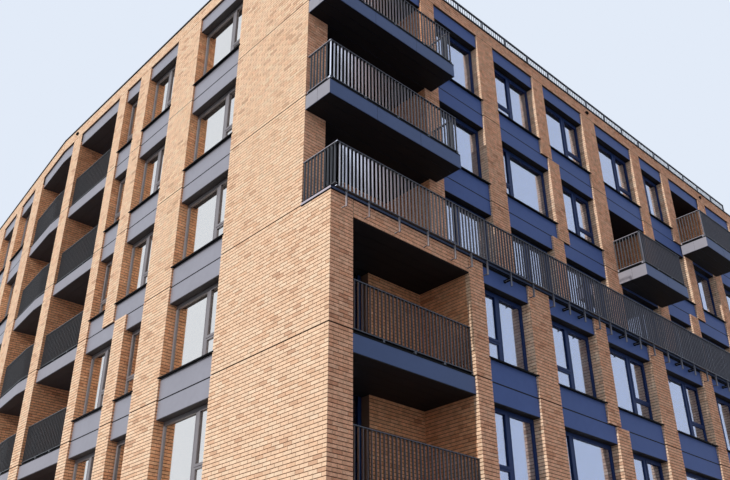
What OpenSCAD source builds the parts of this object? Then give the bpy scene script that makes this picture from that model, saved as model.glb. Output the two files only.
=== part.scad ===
// Corner apartment block: brick piers on two street faces, metal panels between
// the windows, recessed loggias, projecting balconies and a long roof terrace.
// All sizes are in millimetres. The origin is the outer corner of the lower
// storeys at ground level: +X runs along the right street face, +Y along the
// left one, and +Z is up.

/* [Storeys] */
// Height from one floor level to the next
storey_h = 3000; // [2800:50:3400]
// Storeys below the terrace
lower_storeys = 4; // [3:1:5]
// Storeys above the terrace
upper_storeys = 3; // [2:1:4]
// Thickness of the floor and roof slabs
slab_t = 300; // [200:10:350]
// Height of the brick parapet above the roof level
parapet_h = 590; // [400:10:800]

/* [Plan] */
// Depth of both wings
wing_depth = 12000; // [10500:100:14000]
// Set back of the upper storeys behind the lower right face
set_back = 950; // [800:10:1300]
// Angle by which the far end of the left face turns inwards
bend_deg = 5.7; // [3:0.1:8]
// Thickness of the outer walls
wall_t = 400; // [360:10:450]
// Thickness of the party walls at the wing ends
party_t = 300; // [250:10:350]

/* [Left Face] */
// Blind brick wall at the street corner
left_corner_w = 3920; // [3500:10:4500]
// Window bay beside the corner wall
bay_a_w = 2280; // [1900:10:2500]
// Pier beyond that bay
pier_a_w = 1250; // [1000:50:1500]
// Wide bay of the staggered pair
pair_wide_w = 1700; // [1500:50:1900]
// Narrow bay of the staggered pair
pair_narrow_w = 950; // [850:50:1100]
// Pier between the staggered bays
pair_pier_w = 600; // [500:50:700]
// Pier before the first loggia
pier_b_w = 500; // [450:50:700]
// Width of the first loggia
loggia_a_w = 2800; // [2500:50:3200]
// Pier between the loggias
pier_c_w = 600; // [500:50:800]
// Second loggia, from its pier to the bend
loggia_b_near_w = 900; // [800:50:1000]
// Second loggia, from the bend to its far pier
loggia_b_far_w = 2150; // [2050:50:2400]
// Pier beyond the second loggia
pier_d_w = 1000; // [800:50:1200]
// Window bays beyond the bend
bent_bay_w = 1700; // [1500:50:1900]
// Pier between them
pier_e_w = 650; // [500:50:800]
// Last pier of the left face
left_end_w = 1000; // [800:50:1200]

/* [Right Face] */
// Pier at the street corner
corner_pier_w = 600; // [500:50:800]
// Width of the corner loggias in the upper storeys
corner_loggia_w = 3550; // [3200:50:3900]
// How much wider they are in the lower storeys
corner_loggia_more = 150; // [50:10:200]
// Pier beyond the corner loggia, lower storeys
pier_f_w = 500; // [450:10:650]
// First window bay, lower storeys
bay_b_w = 1800; // [1700:50:1900]
// Pier beyond the first bay, lower storeys
pier_g_w = 850; // [750:50:950]
// How much wider the first bay is in the upper storeys, on each side
bay_b_grow = 100; // [50:10:150]
// Second window bay, in its narrow form
bay_c_w = 2100; // [1900:50:2300]
// Pier that moves from storey to storey
moving_pier_w = 550; // [500:50:650]
// Third window bay, in its wide form
bay_d_w = 2300; // [2100:50:2500]
// Move of the pier between the second and third bay
shift_a = 350; // [250:50:450]
// Pier beyond the third bay
pier_h_w = 800; // [700:50:1000]
// Fourth bay
bay_e_w = 2400; // [2200:50:2600]
// Pier beyond the fourth bay
pier_i_w = 600; // [500:50:800]
// Fifth bay, in its narrow form
bay_f_w = 1650; // [1500:50:1800]
// Sixth bay, in its wide form
bay_g_w = 2400; // [2200:50:2600]
// Move of the pier between the fifth and sixth bay
shift_b = 600; // [400:50:700]
// Pier beyond the sixth bay
pier_j_w = 600; // [500:50:800]
// Seventh bay
bay_h_w = 2100; // [1900:50:2300]
// Last pier of the right face
right_end_w = 800; // [700:50:1000]

/* [Courtyard] */
// Width of the windows towards the courtyard
court_bay_w = 2200; // [1800:50:2400]
// Number of window bays on each courtyard face
court_bays = 3; // [2:1:3]

/* [Panels And Windows] */
// Top of the panel below a window, above the floor level
sill_z = 550; // [450:10:700]
// Height of the panel above a window, below the floor level
head_drop = 450; // [350:10:500]
// Setback of the metal panels behind the brick face
panel_in = 45; // [20:5:80]
// Setback of the window frames behind the brick face
reveal = 250; // [200:10:260]
// Thickness of the sills
sill_t = 30; // [20:2:40]
// How far the sills stand out and overlap the brick
sill_out = 30; // [15:5:40]
// Depth of the window frames
frame_d = 80; // [60:5:100]
// Face width of the window frames
frame_w = 60; // [50:5:80]
// Height of the head of each window frame
head_box = 90; // [70:10:200]
// Width of the post between the two lights of a window
mullion_w = 120; // [100:10:160]
// Width of a short side light, with its outer frame
side_light_s = 570; // [500:10:620]
// Width of a medium side light
side_light_m = 730; // [680:10:780]
// Width of a long side light
side_light_l = 840; // [800:10:900]
// Width of the longest side light
side_light_xl = 980; // [920:10:1020]
// Height of the low rail in the side light, above the floor level
transom_z = 1150; // [1000:10:1250]
// Thickness of the glazing
glass_t = 24; // [16:2:36]
// Width of the gap in the brick at each floor level
joint_t = 22; // [10:2:30]

/* [Loggias And Balconies] */
// Depth of the loggias from the brick face to their back wall
loggia_d = 1600; // [1400:50:1800]
// Height of the metal edge of a loggia or balcony
edge_h = 420; // [380:10:450]
// Width of the glazed doors in a loggia's back wall
door_w = 1950; // [1800:50:2000]
// Reach of the corner balconies in front of the face
balcony_out = 860; // [700:10:900]
// Reach of the balconies in front of a window bay
bay_balcony_out = 1000; // [850:10:1100]
// How far a window balcony runs on past its bay
balcony_over = 150; // [50:10:200]
// How far a window balcony starts ahead of its bay
balcony_ahead = 100; // [80:10:150]
// Recess in the underside of a balcony
soffit_in = 40; // [20:5:60]
// Width of the rim round that recess
soffit_rim = 90; // [60:10:140]
// Thickness of the boards under the ceiling of a loggia
soffit_t = 18; // [12:2:25]

/* [Railings] */
// Height of the top of a railing above the floor level
rail_h = 1180; // [1050:10:1250]
// Height of the bottom rail above the floor level
rail_lift = 80; // [50:10:120]
// Spacing of the upright bars
bar_pitch = 110; // [100:2:130]
// Thickness of an upright bar
bar_t = 12; // [10:1:16]
// Depth of an upright bar
bar_d = 45; // [35:5:55]
// Width of the top and bottom rails
rail_w = 55; // [50:5:70]
// Thickness of the top and bottom rails
rail_t = 20; // [12:1:30]
// Setback of a loggia railing behind the brick face
rail_in = 80; // [60:5:120]
// Height of the top of the terrace railing above the terrace level
terrace_rail_h = 1120; // [1050:10:1200]
// Length by which its bottom rail hangs below that level
terrace_rail_drop = 25; // [20:5:80]
// Thickness of a railing's posts
post_t = 20; // [16:2:30]
// Distance of the terrace railing in front of the lower face
terrace_out = 160; // [120:10:200]
// Length by which the terrace posts hang below the terrace level
hanger_drop = 400; // [300:10:450]
// Longest distance between two terrace posts
post_span = 930; // [850:10:1100]
// Height of the roof guard rail above the roof level
guard_h = 1310; // [1000:10:1450]

/* [Hidden] */

brick = "#c99a78";
metal = "#5c6270";
dark = "#2e3138";
glazing = [0.72, 0.78, 0.86, 0.5];
concrete = "#b9b6b0";

// Levels
storeys = lower_storeys + upper_storeys;
roof_z = storeys * storey_h;
terrace_z = lower_storeys * storey_h;
parapet_top = roof_z + parapet_h;
// The panel under the parapet sits higher than the others, and the one under the terrace is taller
top_panel_up = 130;
top_panel_drop = 340;
terrace_drop = 500;
ground_t = 200;
coping_t = 50;
coping_over = 25;
roof_coping_over = 40;
joint_in = 15;
eps = 1;

function level(k) = k * storey_h;
function is_upper(k) = k >= lower_storeys;
function is_top(k) = k == storeys - 1;

// Sum of the first n entries of a list
function sum(list, n) = n <= 0 ? 0 : list[n - 1] + sum(list, n - 1);
function total(list) = sum(list, len(list));

// Each face is a run of widths: solid, void, solid, void and so on, ending with a solid.
// The moving piers are wide or narrow by storey, counted down from the terrace or the roof.
function turn(k) = (is_upper(k) ? k - lower_storeys : lower_storeys - 1 - k) % 2;
function near_pair(k) = is_upper(k) ? pair_wide_w : pair_narrow_w;
function far_pair(k) = is_upper(k) ? pair_narrow_w : pair_wide_w;
function left_run(k) = [
    left_corner_w, bay_a_w, pier_a_w, near_pair(k), pair_pier_w, far_pair(k), pier_b_w, loggia_a_w, pier_c_w
];
function bent_run(k) = [pier_d_w, bent_bay_w, pier_e_w, bent_bay_w, left_end_w];
function right_run(k) = let(
    a = turn(k) * shift_a,
    b = is_upper(k) ? turn(k) * shift_b : 0,
    g = is_upper(k) ? bay_b_grow : 0,
    m = is_upper(k) ? 0 : corner_loggia_more
) [
    corner_pier_w, corner_loggia_w + m, pier_f_w + corner_loggia_more - m - g, bay_b_w + 2 * g, pier_g_w - g,
    bay_c_w + a, moving_pier_w, bay_d_w - a, pier_h_w, bay_e_w, pier_i_w,
    bay_f_w + b, moving_pier_w, bay_g_w - b, pier_j_w, bay_h_w, right_end_w
];

bend_at = total(left_run(0)) + loggia_b_near_w;
bent_len = loggia_b_far_w + total(bent_run(0));
right_len = total(right_run(0));
left_end_y = bend_at + bent_len * cos(bend_deg);
court_b_len = right_len - wing_depth;
court_a_len = left_end_y - wing_depth;

// A point u along the bent part of the left face and v behind it
function bent(u, v) = [
    v * cos(bend_deg) + u * sin(bend_deg),
    bend_at + u * cos(bend_deg) - v * sin(bend_deg)
];
// The point v behind the bend itself
function mitre(v) = [v, bend_at - v * tan(bend_deg / 2)];
// The point v behind the bent face on the end of the left wing
function wing_end(v) = bent(bent_len + v * tan(bend_deg), v);
// The same point, moved back from the end by t
function inner_end(t, v) = bent(bent_len - t / cos(bend_deg) + v * tan(bend_deg), v);

// Frames of the faces: x runs along the face, y goes behind it, z is up.
module on_left() { mirror([1, -1, 0]) children(); }
module on_bend() { translate([0, bend_at, 0]) rotate([0, 0, -bend_deg]) mirror([1, -1, 0]) children(); }
module on_right(k) { translate([0, is_upper(k) ? set_back : 0, 0]) children(); }
module on_court_a() { translate([wing_depth, wing_depth, 0]) rotate([0, 0, 90]) children(); }
module on_court_b() { translate([wing_depth, wing_depth, 0]) mirror([0, 1, 0]) children(); }

function court_run(length) = let(
    pier = (length - court_bays * court_bay_w) / (court_bays + 1)
) [for (i = [0 : 2 * court_bays]) i % 2 == 0 ? pier : court_bay_w];

// Which voids are open recesses instead of windows
function left_open(k, i) = i == 7;
function right_open(k, i) = i == 1
    || (!is_upper(k) && i == 13)
    || (is_upper(k) && storeys - 1 - k == 0 && i == 13)
    || (is_upper(k) && storeys - 1 - k == 1 && i == 9);

// Solids of one storey of a face
function foot(k) = k == 0 ? 0 : level(k) + joint_t;
function head(k) = is_top(k) ? roof_z + top_panel_up : level(k + 1);

// Piers first to last of a run, the first one moved on by the offset start
module run_piers(run, k, first, last, start = 0) {
    for (i = [first : 2 : last]) {
        x = i == first ? start : 0;
        translate([sum(run, i) + x, 0, foot(k)])
            cube([run[i] - x, wall_t, head(k) - foot(k)]);
    }
}

// Bottom of the panel over the window of storey k
function panel_low(k, right) = is_top(k) ? roof_z - top_panel_drop
    : level(k + 1) - (right && k == lower_storeys - 1 ? terrace_drop : head_drop);

module lower_panel(w, k) {
    translate([0, panel_in, foot(k)]) cube([w, wall_t - panel_in, level(k) + sill_z - foot(k)]);
}
module upper_panel(w, k, right) {
    low = panel_low(k, right);
    translate([0, panel_in, low]) cube([w, wall_t - panel_in, head(k) - low]);
}

module sill(w, k) {
    back = reveal + frame_d;
    translate([0, 0, level(k) + sill_z])
        linear_extrude(sill_t)
            polygon([
                [0, 0], [-sill_out, 0], [-sill_out, -sill_out], [w + sill_out, -sill_out],
                [w + sill_out, 0], [w, 0], [w, back], [0, back]
            ]);
}

// A window of width w between z0 and z1, with its side light s wide at the start (side 1),
// at the end (side -1), or across the whole window (side 0)
function lights(w, z0, z1, tz, s, side) = let(
    a = frame_w,
    b = w - frame_w,
    low = z0 + frame_w,
    high = z1 - head_box,
    s0 = side == 0 ? a : side > 0 ? a : w - s,
    s1 = side == 0 ? b : side > 0 ? s : b,
    small = [[s0, s1, low, tz], [s0, s1, tz + frame_w, high]],
    main = side == 0 ? [] : side > 0 ? [[s + mullion_w, b, low, high]] : [[a, w - s - mullion_w, low, high]]
) concat(small, main);

module window_frame(w, z0, z1, tz, s, side) {
    translate([0, reveal, 0])
        difference() {
            translate([0, 0, z0]) cube([w, frame_d, z1 - z0]);
            for (p = lights(w, z0, z1, tz, s, side))
                translate([p[0], -eps, p[2]]) cube([p[1] - p[0], frame_d + 2 * eps, p[3] - p[2]]);
        }
}
module window_glass(w, z0, z1, tz, s, side) {
    for (p = lights(w, z0, z1, tz, s, side))
        translate([p[0], reveal + (frame_d - glass_t) / 2, p[2]])
            cube([p[1] - p[0], glass_t, p[3] - p[2]]);
}

// A window has a side light at the start (side 1) or the end (side -1), or is one light (side 0)
narrow_limit = 1200;
function side_of(w, end) = w < narrow_limit ? 0 : end;

function window_low(k) = level(k) + sill_z + sill_t;
module bay_frame(w, k, right, end, s) {
    window_frame(w, window_low(k), panel_low(k, right), level(k) + transom_z, s, side_of(w, end));
}
module bay_glass(w, k, right, end, s) {
    window_glass(w, window_low(k), panel_low(k, right), level(k) + transom_z, s, side_of(w, end));
}

// On the right face the side light changes ends from the third bay on
function right_end(i) = i == 7 || i == 9 ? -1 : 1;
function right_side_w(k, i) = i == 3 ? side_light_m
    : i == 5 && turn(k) == 0 ? side_light_xl
    : i == 7 || i == 9 ? side_light_l : side_light_s;

// Places its child at each window of the left face, straight part and bent part
module each_left_window(k) {
    run = left_run(k);
    for (i = [1 : 2 : len(run) - 2])
        if (!left_open(k, i)) {
            $w = run[i];
            on_left() translate([sum(run, i), 0, 0]) children();
        }
    far = bent_run(k);
    for (i = [1 : 2 : len(far) - 2]) {
        $w = far[i];
        on_bend() translate([loggia_b_far_w + sum(far, i), 0, 0]) children();
    }
}
module each_right_window(k) {
    run = right_run(k);
    for (i = [1 : 2 : len(run) - 2])
        if (!right_open(k, i)) {
            $w = run[i];
            $end = right_end(i);
            $s = right_side_w(k, i);
            on_right(k) translate([sum(run, i), 0, 0]) children();
        }
}
module each_court_window() {
    a = court_run(court_a_len);
    b = court_run(court_b_len);
    for (i = [1 : 2 : len(a) - 2])
        on_court_a() translate([sum(a, i), 0, 0]) children();
    for (i = [1 : 2 : len(b) - 2])
        on_court_b() translate([sum(b, i), 0, 0]) children();
}

// A strip in plan that follows the left face round the bend, from v0 to v1 behind it
module bent_strip(u0, u1, v0, v1, z, h) {
    translate([0, 0, z])
        linear_extrude(h)
            polygon([[v0, u0], mitre(v0), bent(u1, v0), bent(u1, v1), mitre(v1), [v1, u0]]);
}
loggia_b_at = bend_at - loggia_b_near_w;

// Floor under the loggias and rooms of storey k, and the ceiling over them
function floor_z(k) = k == 0 ? ground_t : level(k);
function ceiling_z(k) = level(k + 1) - slab_t;

// Left face
module left_corner_wall() {
    color(brick)
        for (k = [0 : storeys - 1])
            let(y0 = is_upper(k) ? set_back : 0)
                translate([0, y0, foot(k)]) cube([wall_t, left_corner_w - y0, head(k) - foot(k)]);
}
module left_piers() {
    color(brick)
        for (k = [0 : storeys - 1]) {
            on_left() run_piers(left_run(k), k, 2, len(left_run(k)) - 1);
            on_bend() translate([loggia_b_far_w, 0, 0]) run_piers(bent_run(k), k, 0, len(bent_run(k)) - 3);
            translate([0, 0, foot(k)])
                linear_extrude(head(k) - foot(k))
                    polygon([
                        bent(bent_len - left_end_w, 0), wing_end(0),
                        wing_end(wall_t), bent(bent_len - left_end_w, wall_t)
                    ]);
        }
}
module left_panels() {
    color(metal)
        for (k = [0 : storeys - 1]) {
            each_left_window(k) {
                lower_panel($w, k);
                upper_panel($w, k, false);
            }
            if (is_top(k)) {
                low = panel_low(k, false);
                on_left() translate([sum(left_run(k), 7), 0, 0]) upper_panel(loggia_a_w, k, false);
                bent_strip(loggia_b_at, loggia_b_far_w, panel_in, wall_t, low, head(k) - low);
            }
        }
}
module left_sills() {
    color(dark) for (k = [0 : storeys - 1]) each_left_window(k) sill($w, k);
}
module left_window_frames() {
    color(dark) for (k = [0 : storeys - 1]) each_left_window(k) bay_frame($w, k, false, 1, side_light_m);
}
module left_window_glass() {
    color(glazing) for (k = [0 : storeys - 1]) each_left_window(k) bay_glass($w, k, false, 1, side_light_m);
}

// Right face
module right_piers(k0, k1) {
    color(brick)
        for (k = [k0 : k1])
            on_right(k) run_piers(right_run(k), k, 0, len(right_run(k)) - 1, wall_t);
}
module right_lower_piers() { right_piers(0, lower_storeys - 1); }
module right_upper_piers() { right_piers(lower_storeys, storeys - 1); }

lintel_h = 450;
module corner_lintel() {
    color(brick)
        translate([corner_pier_w, 0, terrace_z - lintel_h])
            cube([right_run(lower_storeys - 1)[1], wall_t, lintel_h]);
}

// An open bay has a panel over it unless the bay above is open too, or the brick lintel is there
function right_head(k, i) = !right_open(k, i) ? true
    : k == lower_storeys - 1 ? i != 1
    : is_top(k) ? true
    : !right_open(k + 1, i);
module right_panels(k0, k1) {
    color(metal)
        for (k = [k0 : k1]) {
            each_right_window(k) lower_panel($w, k);
            run = right_run(k);
            for (i = [1 : 2 : len(run) - 2])
                if (right_head(k, i))
                    on_right(k) translate([sum(run, i), 0, 0]) upper_panel(run[i], k, true);
        }
}
module right_lower_panels() { right_panels(0, lower_storeys - 1); }
module right_upper_panels() { right_panels(lower_storeys, storeys - 1); }
module right_sills() {
    color(dark) for (k = [0 : storeys - 1]) each_right_window(k) sill($w, k);
}
module right_window_frames() {
    color(dark) for (k = [0 : storeys - 1]) each_right_window(k) bay_frame($w, k, true, $end, $s);
}
module right_window_glass() {
    color(glazing) for (k = [0 : storeys - 1]) each_right_window(k) bay_glass($w, k, true, $end, $s);
}

// Recessed filler in the gap at each floor level, left out across the open bays
joint_v = panel_in + joint_in;
module joint_box(x0, x1, k) {
    translate([x0, joint_v, level(k)]) cube([x1 - x0, wall_t - joint_v, joint_t]);
}
module movement_joints() {
    color("#4a4038")
        for (k = [1 : storeys - 1]) {
            l = left_run(k);
            r = right_run(k);
            corner = (is_upper(k) ? set_back : 0) + joint_v;
            on_left()
                for (i = [0 : len(l) - 1])
                    if (i % 2 == 0 || !left_open(k, i))
                        joint_box(i == 0 ? corner : sum(l, i), sum(l, i + 1), k);
            on_bend() joint_box(loggia_b_far_w, bent_len, k);
            on_right(k)
                for (i = [0 : len(r) - 1])
                    if (i % 2 == 0 || !right_open(k, i))
                        joint_box(i == 0 ? wall_t : sum(r, i), sum(r, i + 1), k);
            on_court_a() joint_box(-wall_t, court_a_len, k);
            on_court_b() joint_box(joint_t, court_b_len, k);
        }
    color("#4a4038")
        translate([right_len - party_t, set_back + wall_t, terrace_z])
            cube([party_t - joint_in, wing_depth - 2 * wall_t - set_back, joint_t]);
}

// Loggias: side walls, back wall with its glazed doors, metal edge and railing
side_t = corner_pier_w - wall_t;
module side_wall(x, k) {
    translate([x, wall_t, floor_z(k)]) cube([side_t, loggia_d, ceiling_z(k) - floor_z(k)]);
}
module each_right_loggia(k) {
    run = right_run(k);
    for (i = [1 : 2 : len(run) - 2])
        if (right_open(k, i)) {
            $w = run[i];
            $i = i;
            on_right(k) translate([sum(run, i), 0, 0]) children();
        }
}
module each_left_loggia(k) {
    run = left_run(k);
    for (i = [1 : 2 : len(run) - 2])
        if (left_open(k, i)) {
            $w = run[i];
            on_left() translate([sum(run, i), 0, 0]) children();
        }
}
module loggia_side_walls() {
    color(brick)
        for (k = [0 : storeys - 1]) {
            each_right_loggia(k) {
                side_wall(-side_t, k);
                side_wall($w, k);
            }
            each_left_loggia(k) {
                side_wall(-side_t, k);
                side_wall($w, k);
            }
            on_left() side_wall(loggia_b_at - side_t, k);
            on_bend() side_wall(loggia_b_far_w, k);
        }
}
// The brick part of a back wall lies between the loggia's side walls
module back_brick(x, w, k) {
    translate([x, loggia_d, floor_z(k)]) cube([w, wall_t, ceiling_z(k) - floor_z(k)]);
}
module loggia_back_walls() {
    color(brick)
        for (k = [0 : storeys - 1]) {
            each_right_loggia(k) back_brick(door_w, $w - door_w, k);
            each_left_loggia(k) back_brick(0, $w - door_w, k);
            bent_strip(loggia_b_at, loggia_b_far_w - door_w, loggia_d, loggia_d + wall_t,
                floor_z(k), ceiling_z(k) - floor_z(k));
        }
}
// Two glazed leaves with a post between them
function leaves(z0, z1) = [
    for (x = [frame_w, (door_w + mullion_w) / 2])
        [x, x + (door_w - mullion_w) / 2 - frame_w, z0 + frame_w, z1 - head_box]
];
module door_frame(x, k) {
    translate([x, loggia_d + reveal, 0])
        difference() {
            translate([0, 0, floor_z(k)]) cube([door_w, frame_d, ceiling_z(k) - floor_z(k)]);
            for (p = leaves(floor_z(k), ceiling_z(k)))
                translate([p[0], -eps, p[2]]) cube([p[1] - p[0], frame_d + 2 * eps, p[3] - p[2]]);
        }
}
module door_glass(x, k) {
    for (p = leaves(floor_z(k), ceiling_z(k)))
        translate([x + p[0], loggia_d + reveal + (frame_d - glass_t) / 2, p[2]])
            cube([p[1] - p[0], glass_t, p[3] - p[2]]);
}
module loggia_door_frames() {
    color(dark)
        for (k = [0 : storeys - 1]) {
            each_right_loggia(k) door_frame(0, k);
            each_left_loggia(k) door_frame($w - door_w, k);
            on_bend() door_frame(loggia_b_far_w - door_w, k);
        }
}
module loggia_door_glass() {
    color(glazing)
        for (k = [0 : storeys - 1]) {
            each_right_loggia(k) door_glass(0, k);
            each_left_loggia(k) door_glass($w - door_w, k);
            on_bend() door_glass(loggia_b_far_w - door_w, k);
        }
}
// Boards under the ceiling of a loggia, run on over its doors
module door_soffit(x, k) {
    translate([x, loggia_d, ceiling_z(k) - soffit_t]) cube([door_w, reveal, soffit_t]);
}
module soffit(w, x, k) {
    translate([0, wall_t, ceiling_z(k) - soffit_t]) cube([w, loggia_d - wall_t, soffit_t]);
    door_soffit(x, k);
}
module loggia_soffits() {
    color(dark)
        for (k = [0 : storeys - 1]) {
            each_right_loggia(k) soffit($w, 0, k);
            each_left_loggia(k) soffit($w, $w - door_w, k);
            bent_strip(loggia_b_at, loggia_b_far_w, wall_t, loggia_d, ceiling_z(k) - soffit_t, soffit_t);
            on_bend() door_soffit(loggia_b_far_w - door_w, k);
        }
}
// Metal edge under the floor of storey k, where the bay below is open too
module edge_box(w, v0, k) {
    translate([0, v0, level(k) - edge_h]) cube([w, wall_t - v0, edge_h]);
}
module loggia_edges() {
    color(metal)
        for (k = [1 : storeys - 1]) {
            each_left_loggia(k) edge_box($w, panel_in, k);
            bent_strip(loggia_b_at, loggia_b_far_w, panel_in, wall_t, level(k) - edge_h, edge_h);
            if (k != lower_storeys)
                each_right_loggia(k)
                    if (right_open(k - 1, $i)) edge_box($w, is_upper(k) ? 0 : panel_in, k);
        }
}

// Flat upright bars evenly spaced from x = 0 to length
module bars(length, low, high, thick, deep) {
    n = floor(length / bar_pitch);
    start = (length - n * bar_pitch) / 2;
    for (i = [0 : n]) {
        x = start + i * bar_pitch - thick / 2;
        if (x > 0 && x + thick < length)
            translate([x, (rail_w - deep) / 2, low]) cube([thick, deep, high - low]);
    }
}
stud_span = 1000;
module studs(length, low, high) {
    n = max(1, round(length / stud_span));
    for (i = [0 : n])
        translate([(length - rail_w) * i / n, 0, low]) cube([rail_w, rail_w, high - low]);
}
function rail_low(z) = z + rail_lift;
function rail_high(z) = z + rail_h - rail_t;
// Top and bottom rail of a railing that stands at z, behind y = 0
module rails(length, z) {
    for (h = [rail_low(z), rail_high(z)])
        translate([0, 0, h]) cube([length, rail_w, rail_t]);
    studs(length, z, rail_low(z));
}
module railing(length, z) {
    rails(length, z);
    bars(length, rail_low(z) + rail_t, rail_high(z), bar_t, bar_d);
}
module loggia_railings() {
    color(dark)
        for (k = [1 : storeys - 1]) {
            each_left_loggia(k) translate([0, rail_in, 0]) railing($w, level(k));
            if (!is_upper(k)) each_right_loggia(k) translate([0, rail_in, 0]) railing($w, level(k));
            bent_railing(level(k));
        }
}
// The second loggia's railing follows the bend
module bent_railing(z) {
    low = rail_low(z);
    high = rail_high(z);
    out = rail_in + rail_w;
    bent_strip(loggia_b_at, loggia_b_far_w, rail_in, out, low, rail_t);
    bent_strip(loggia_b_at, loggia_b_far_w, rail_in, out, high, rail_t);
    on_left() translate([loggia_b_at, rail_in, 0]) {
        bars(loggia_b_near_w - bar_pitch / 2, low + rail_t, high, bar_t, bar_d);
        studs(rail_w, z, low);
    }
    on_bend() translate([bar_t, rail_in, 0]) {
        bars(loggia_b_far_w - bar_t, low + rail_t, high, bar_t, bar_d);
        studs(loggia_b_far_w - bar_t, z, low);
    }
}

// Balconies of the upper right face: storey, start and end along the face, reach
function balconies() = [
    for (k = [lower_storeys + 1 : storeys - 1])
        [k, 0, corner_pier_w + corner_loggia_w + balcony_over + balcony_ahead, balcony_out],
    for (k = [lower_storeys + 1 : storeys - 1])
        for (i = [9, 13])
            if (right_open(k, i))
                [k, sum(right_run(k), i) - balcony_ahead, sum(right_run(k), i + 1) + balcony_over,
                    bay_balcony_out]
];
module balcony_slabs() {
    color(metal)
        for (b = balconies()) {
            length = b[2] - b[1];
            on_right(b[0])
                translate([b[1], -b[3], level(b[0]) - edge_h])
                    difference() {
                        cube([length, b[3], edge_h]);
                        translate([soffit_rim, soffit_rim, -eps])
                            cube([length - 2 * soffit_rim, b[3] - 2 * soffit_rim, soffit_in + eps]);
                    }
        }
}
rail_edge = 25;
// Places its child at the front railing of each balcony
module each_front_railing() {
    for (b = balconies()) {
        $length = b[2] - b[1] - 2 * rail_edge;
        $z = level(b[0]);
        on_right(b[0]) translate([b[1] + rail_edge, rail_edge - b[3], 0]) children();
    }
}
module balcony_front_railings() {
    color(dark) each_front_railing() rails($length, $z);
}
module balcony_front_bars() {
    color(dark) each_front_railing() bars($length, rail_low($z) + rail_t, rail_high($z), bar_t, bar_d);
}
module balcony_end_railings() {
    color(dark)
        for (b = balconies()) {
            reach = b[3] - rail_edge - rail_w;
            for (x = [b[1] + rail_edge, b[2] - rail_edge - rail_w])
                on_right(b[0])
                    translate([x, -reach, 0])
                        mirror([1, -1, 0]) railing(reach, level(b[0]));
        }
}

// Roof terrace in front of the upper storeys
module terrace_coping() {
    color(dark)
        translate([0, 0, terrace_z])
            linear_extrude(coping_t)
                polygon([
                    [-coping_over, -coping_over], [right_len, -coping_over], [right_len, wall_t],
                    [wall_t, wall_t], [wall_t, set_back], [-coping_over, set_back]
                ]);
}
terrace_low = terrace_z - terrace_rail_drop;
terrace_high = terrace_z + terrace_rail_h;
run_below = right_run(lower_storeys - 1);
function over_panel(x) = len([
    for (i = [3 : 2 : len(run_below) - 2])
        if (x > sum(run_below, i) && x < sum(run_below, i + 1)) i
]) > 0;
// Posts stand at both edges of each bay below and evenly between them. At the corner, over
// the brick, they follow a step of their own.
first_post = 290;
second_post = 930;
post_step = 905;
first_bay_x = sum(run_below, 3);
corner_steps = floor((first_bay_x - second_post) / post_step);
corner_last = second_post + (corner_steps - 1) * post_step;
function bay_posts(a, b) = let(n = ceil((b - a) / post_span)) [for (j = [0 : n]) a + (b - a) * j / n];
posts = [
    first_post,
    for (i = [0 : corner_steps - 1]) second_post + i * post_step,
    (corner_last + first_bay_x) / 2,
    for (i = [3 : 2 : len(run_below) - 2]) each bay_posts(sum(run_below, i), sum(run_below, i + 1))
];
module terrace_bar(x, t, low) {
    translate([x - t / 2, -terrace_out - bar_d / 2, low])
        cube([t, bar_d, terrace_high - rail_t - low]);
}
// The posts hang below the rail and are held off the face by a short arm, at the foot over
// brick and half way down over a panel
module terrace_railing() {
    stops = concat([0], posts, [right_len]);
    low = terrace_z - hanger_drop;
    color(dark) {
        for (z = [terrace_low, terrace_high - rail_t])
            translate([0, -terrace_out - rail_w / 2, z]) cube([right_len, rail_w, rail_t]);
        for (i = [0 : len(stops) - 2]) {
            a = stops[i];
            n = max(1, round((stops[i + 1] - a) / bar_pitch));
            for (j = [1 : 1 : n - 1]) terrace_bar(a + (stops[i + 1] - a) * j / n, bar_t, terrace_low);
        }
        for (x = posts) {
            arm_z = over_panel(x) ? (low + terrace_low) / 2 : low + post_t;
            terrace_bar(x, post_t, low);
            translate([x - post_t / 2, -terrace_out, arm_z])
                cube([post_t, terrace_out + (over_panel(x) ? panel_in : 0), post_t]);
        }
    }
}
end_rail_lift = 30;
module terrace_end_railing() {
    reach = set_back + terrace_out - rail_w / 2;
    base = terrace_z + coping_t;
    low = base + end_rail_lift;
    high = terrace_high - rail_t;
    color(dark)
        translate([0, rail_w / 2 - terrace_out, 0])
            mirror([1, -1, 0]) {
                translate([0, 0, low]) cube([reach, rail_w, rail_t]);
                translate([0, 0, high]) cube([reach, rail_w, rail_t]);
                bars(reach, low + rail_t, high, bar_t, bar_d);
                translate([reach - rail_w, 0, base]) cube([rail_w, rail_w, low - base]);
            }
}

// Guard rail on the parapet of the right face
guard_post = 40;
guard_bar = 15;
guard_lift = 60;
guard_span = 1200;
module roof_guard_rail() {
    length = right_len - wall_t / 2 - party_t;
    base = parapet_top + coping_t;
    low = base + guard_lift;
    high = roof_z + guard_h - 2 * rail_t;
    spans = round(length / guard_span);
    color(dark)
        translate([wall_t / 2, set_back + (wall_t - rail_w) / 2, 0]) {
            translate([0, 0, low]) cube([length, rail_w, rail_t]);
            translate([0, 0, high]) cube([length, rail_w, 2 * rail_t]);
            bars(length, low + rail_t, high, guard_bar, guard_bar);
            for (i = [0 : spans])
                translate([(length - guard_post) * i / spans, (rail_w - guard_post) / 2, base])
                    cube([guard_post, guard_post, high - base]);
        }
}

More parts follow.
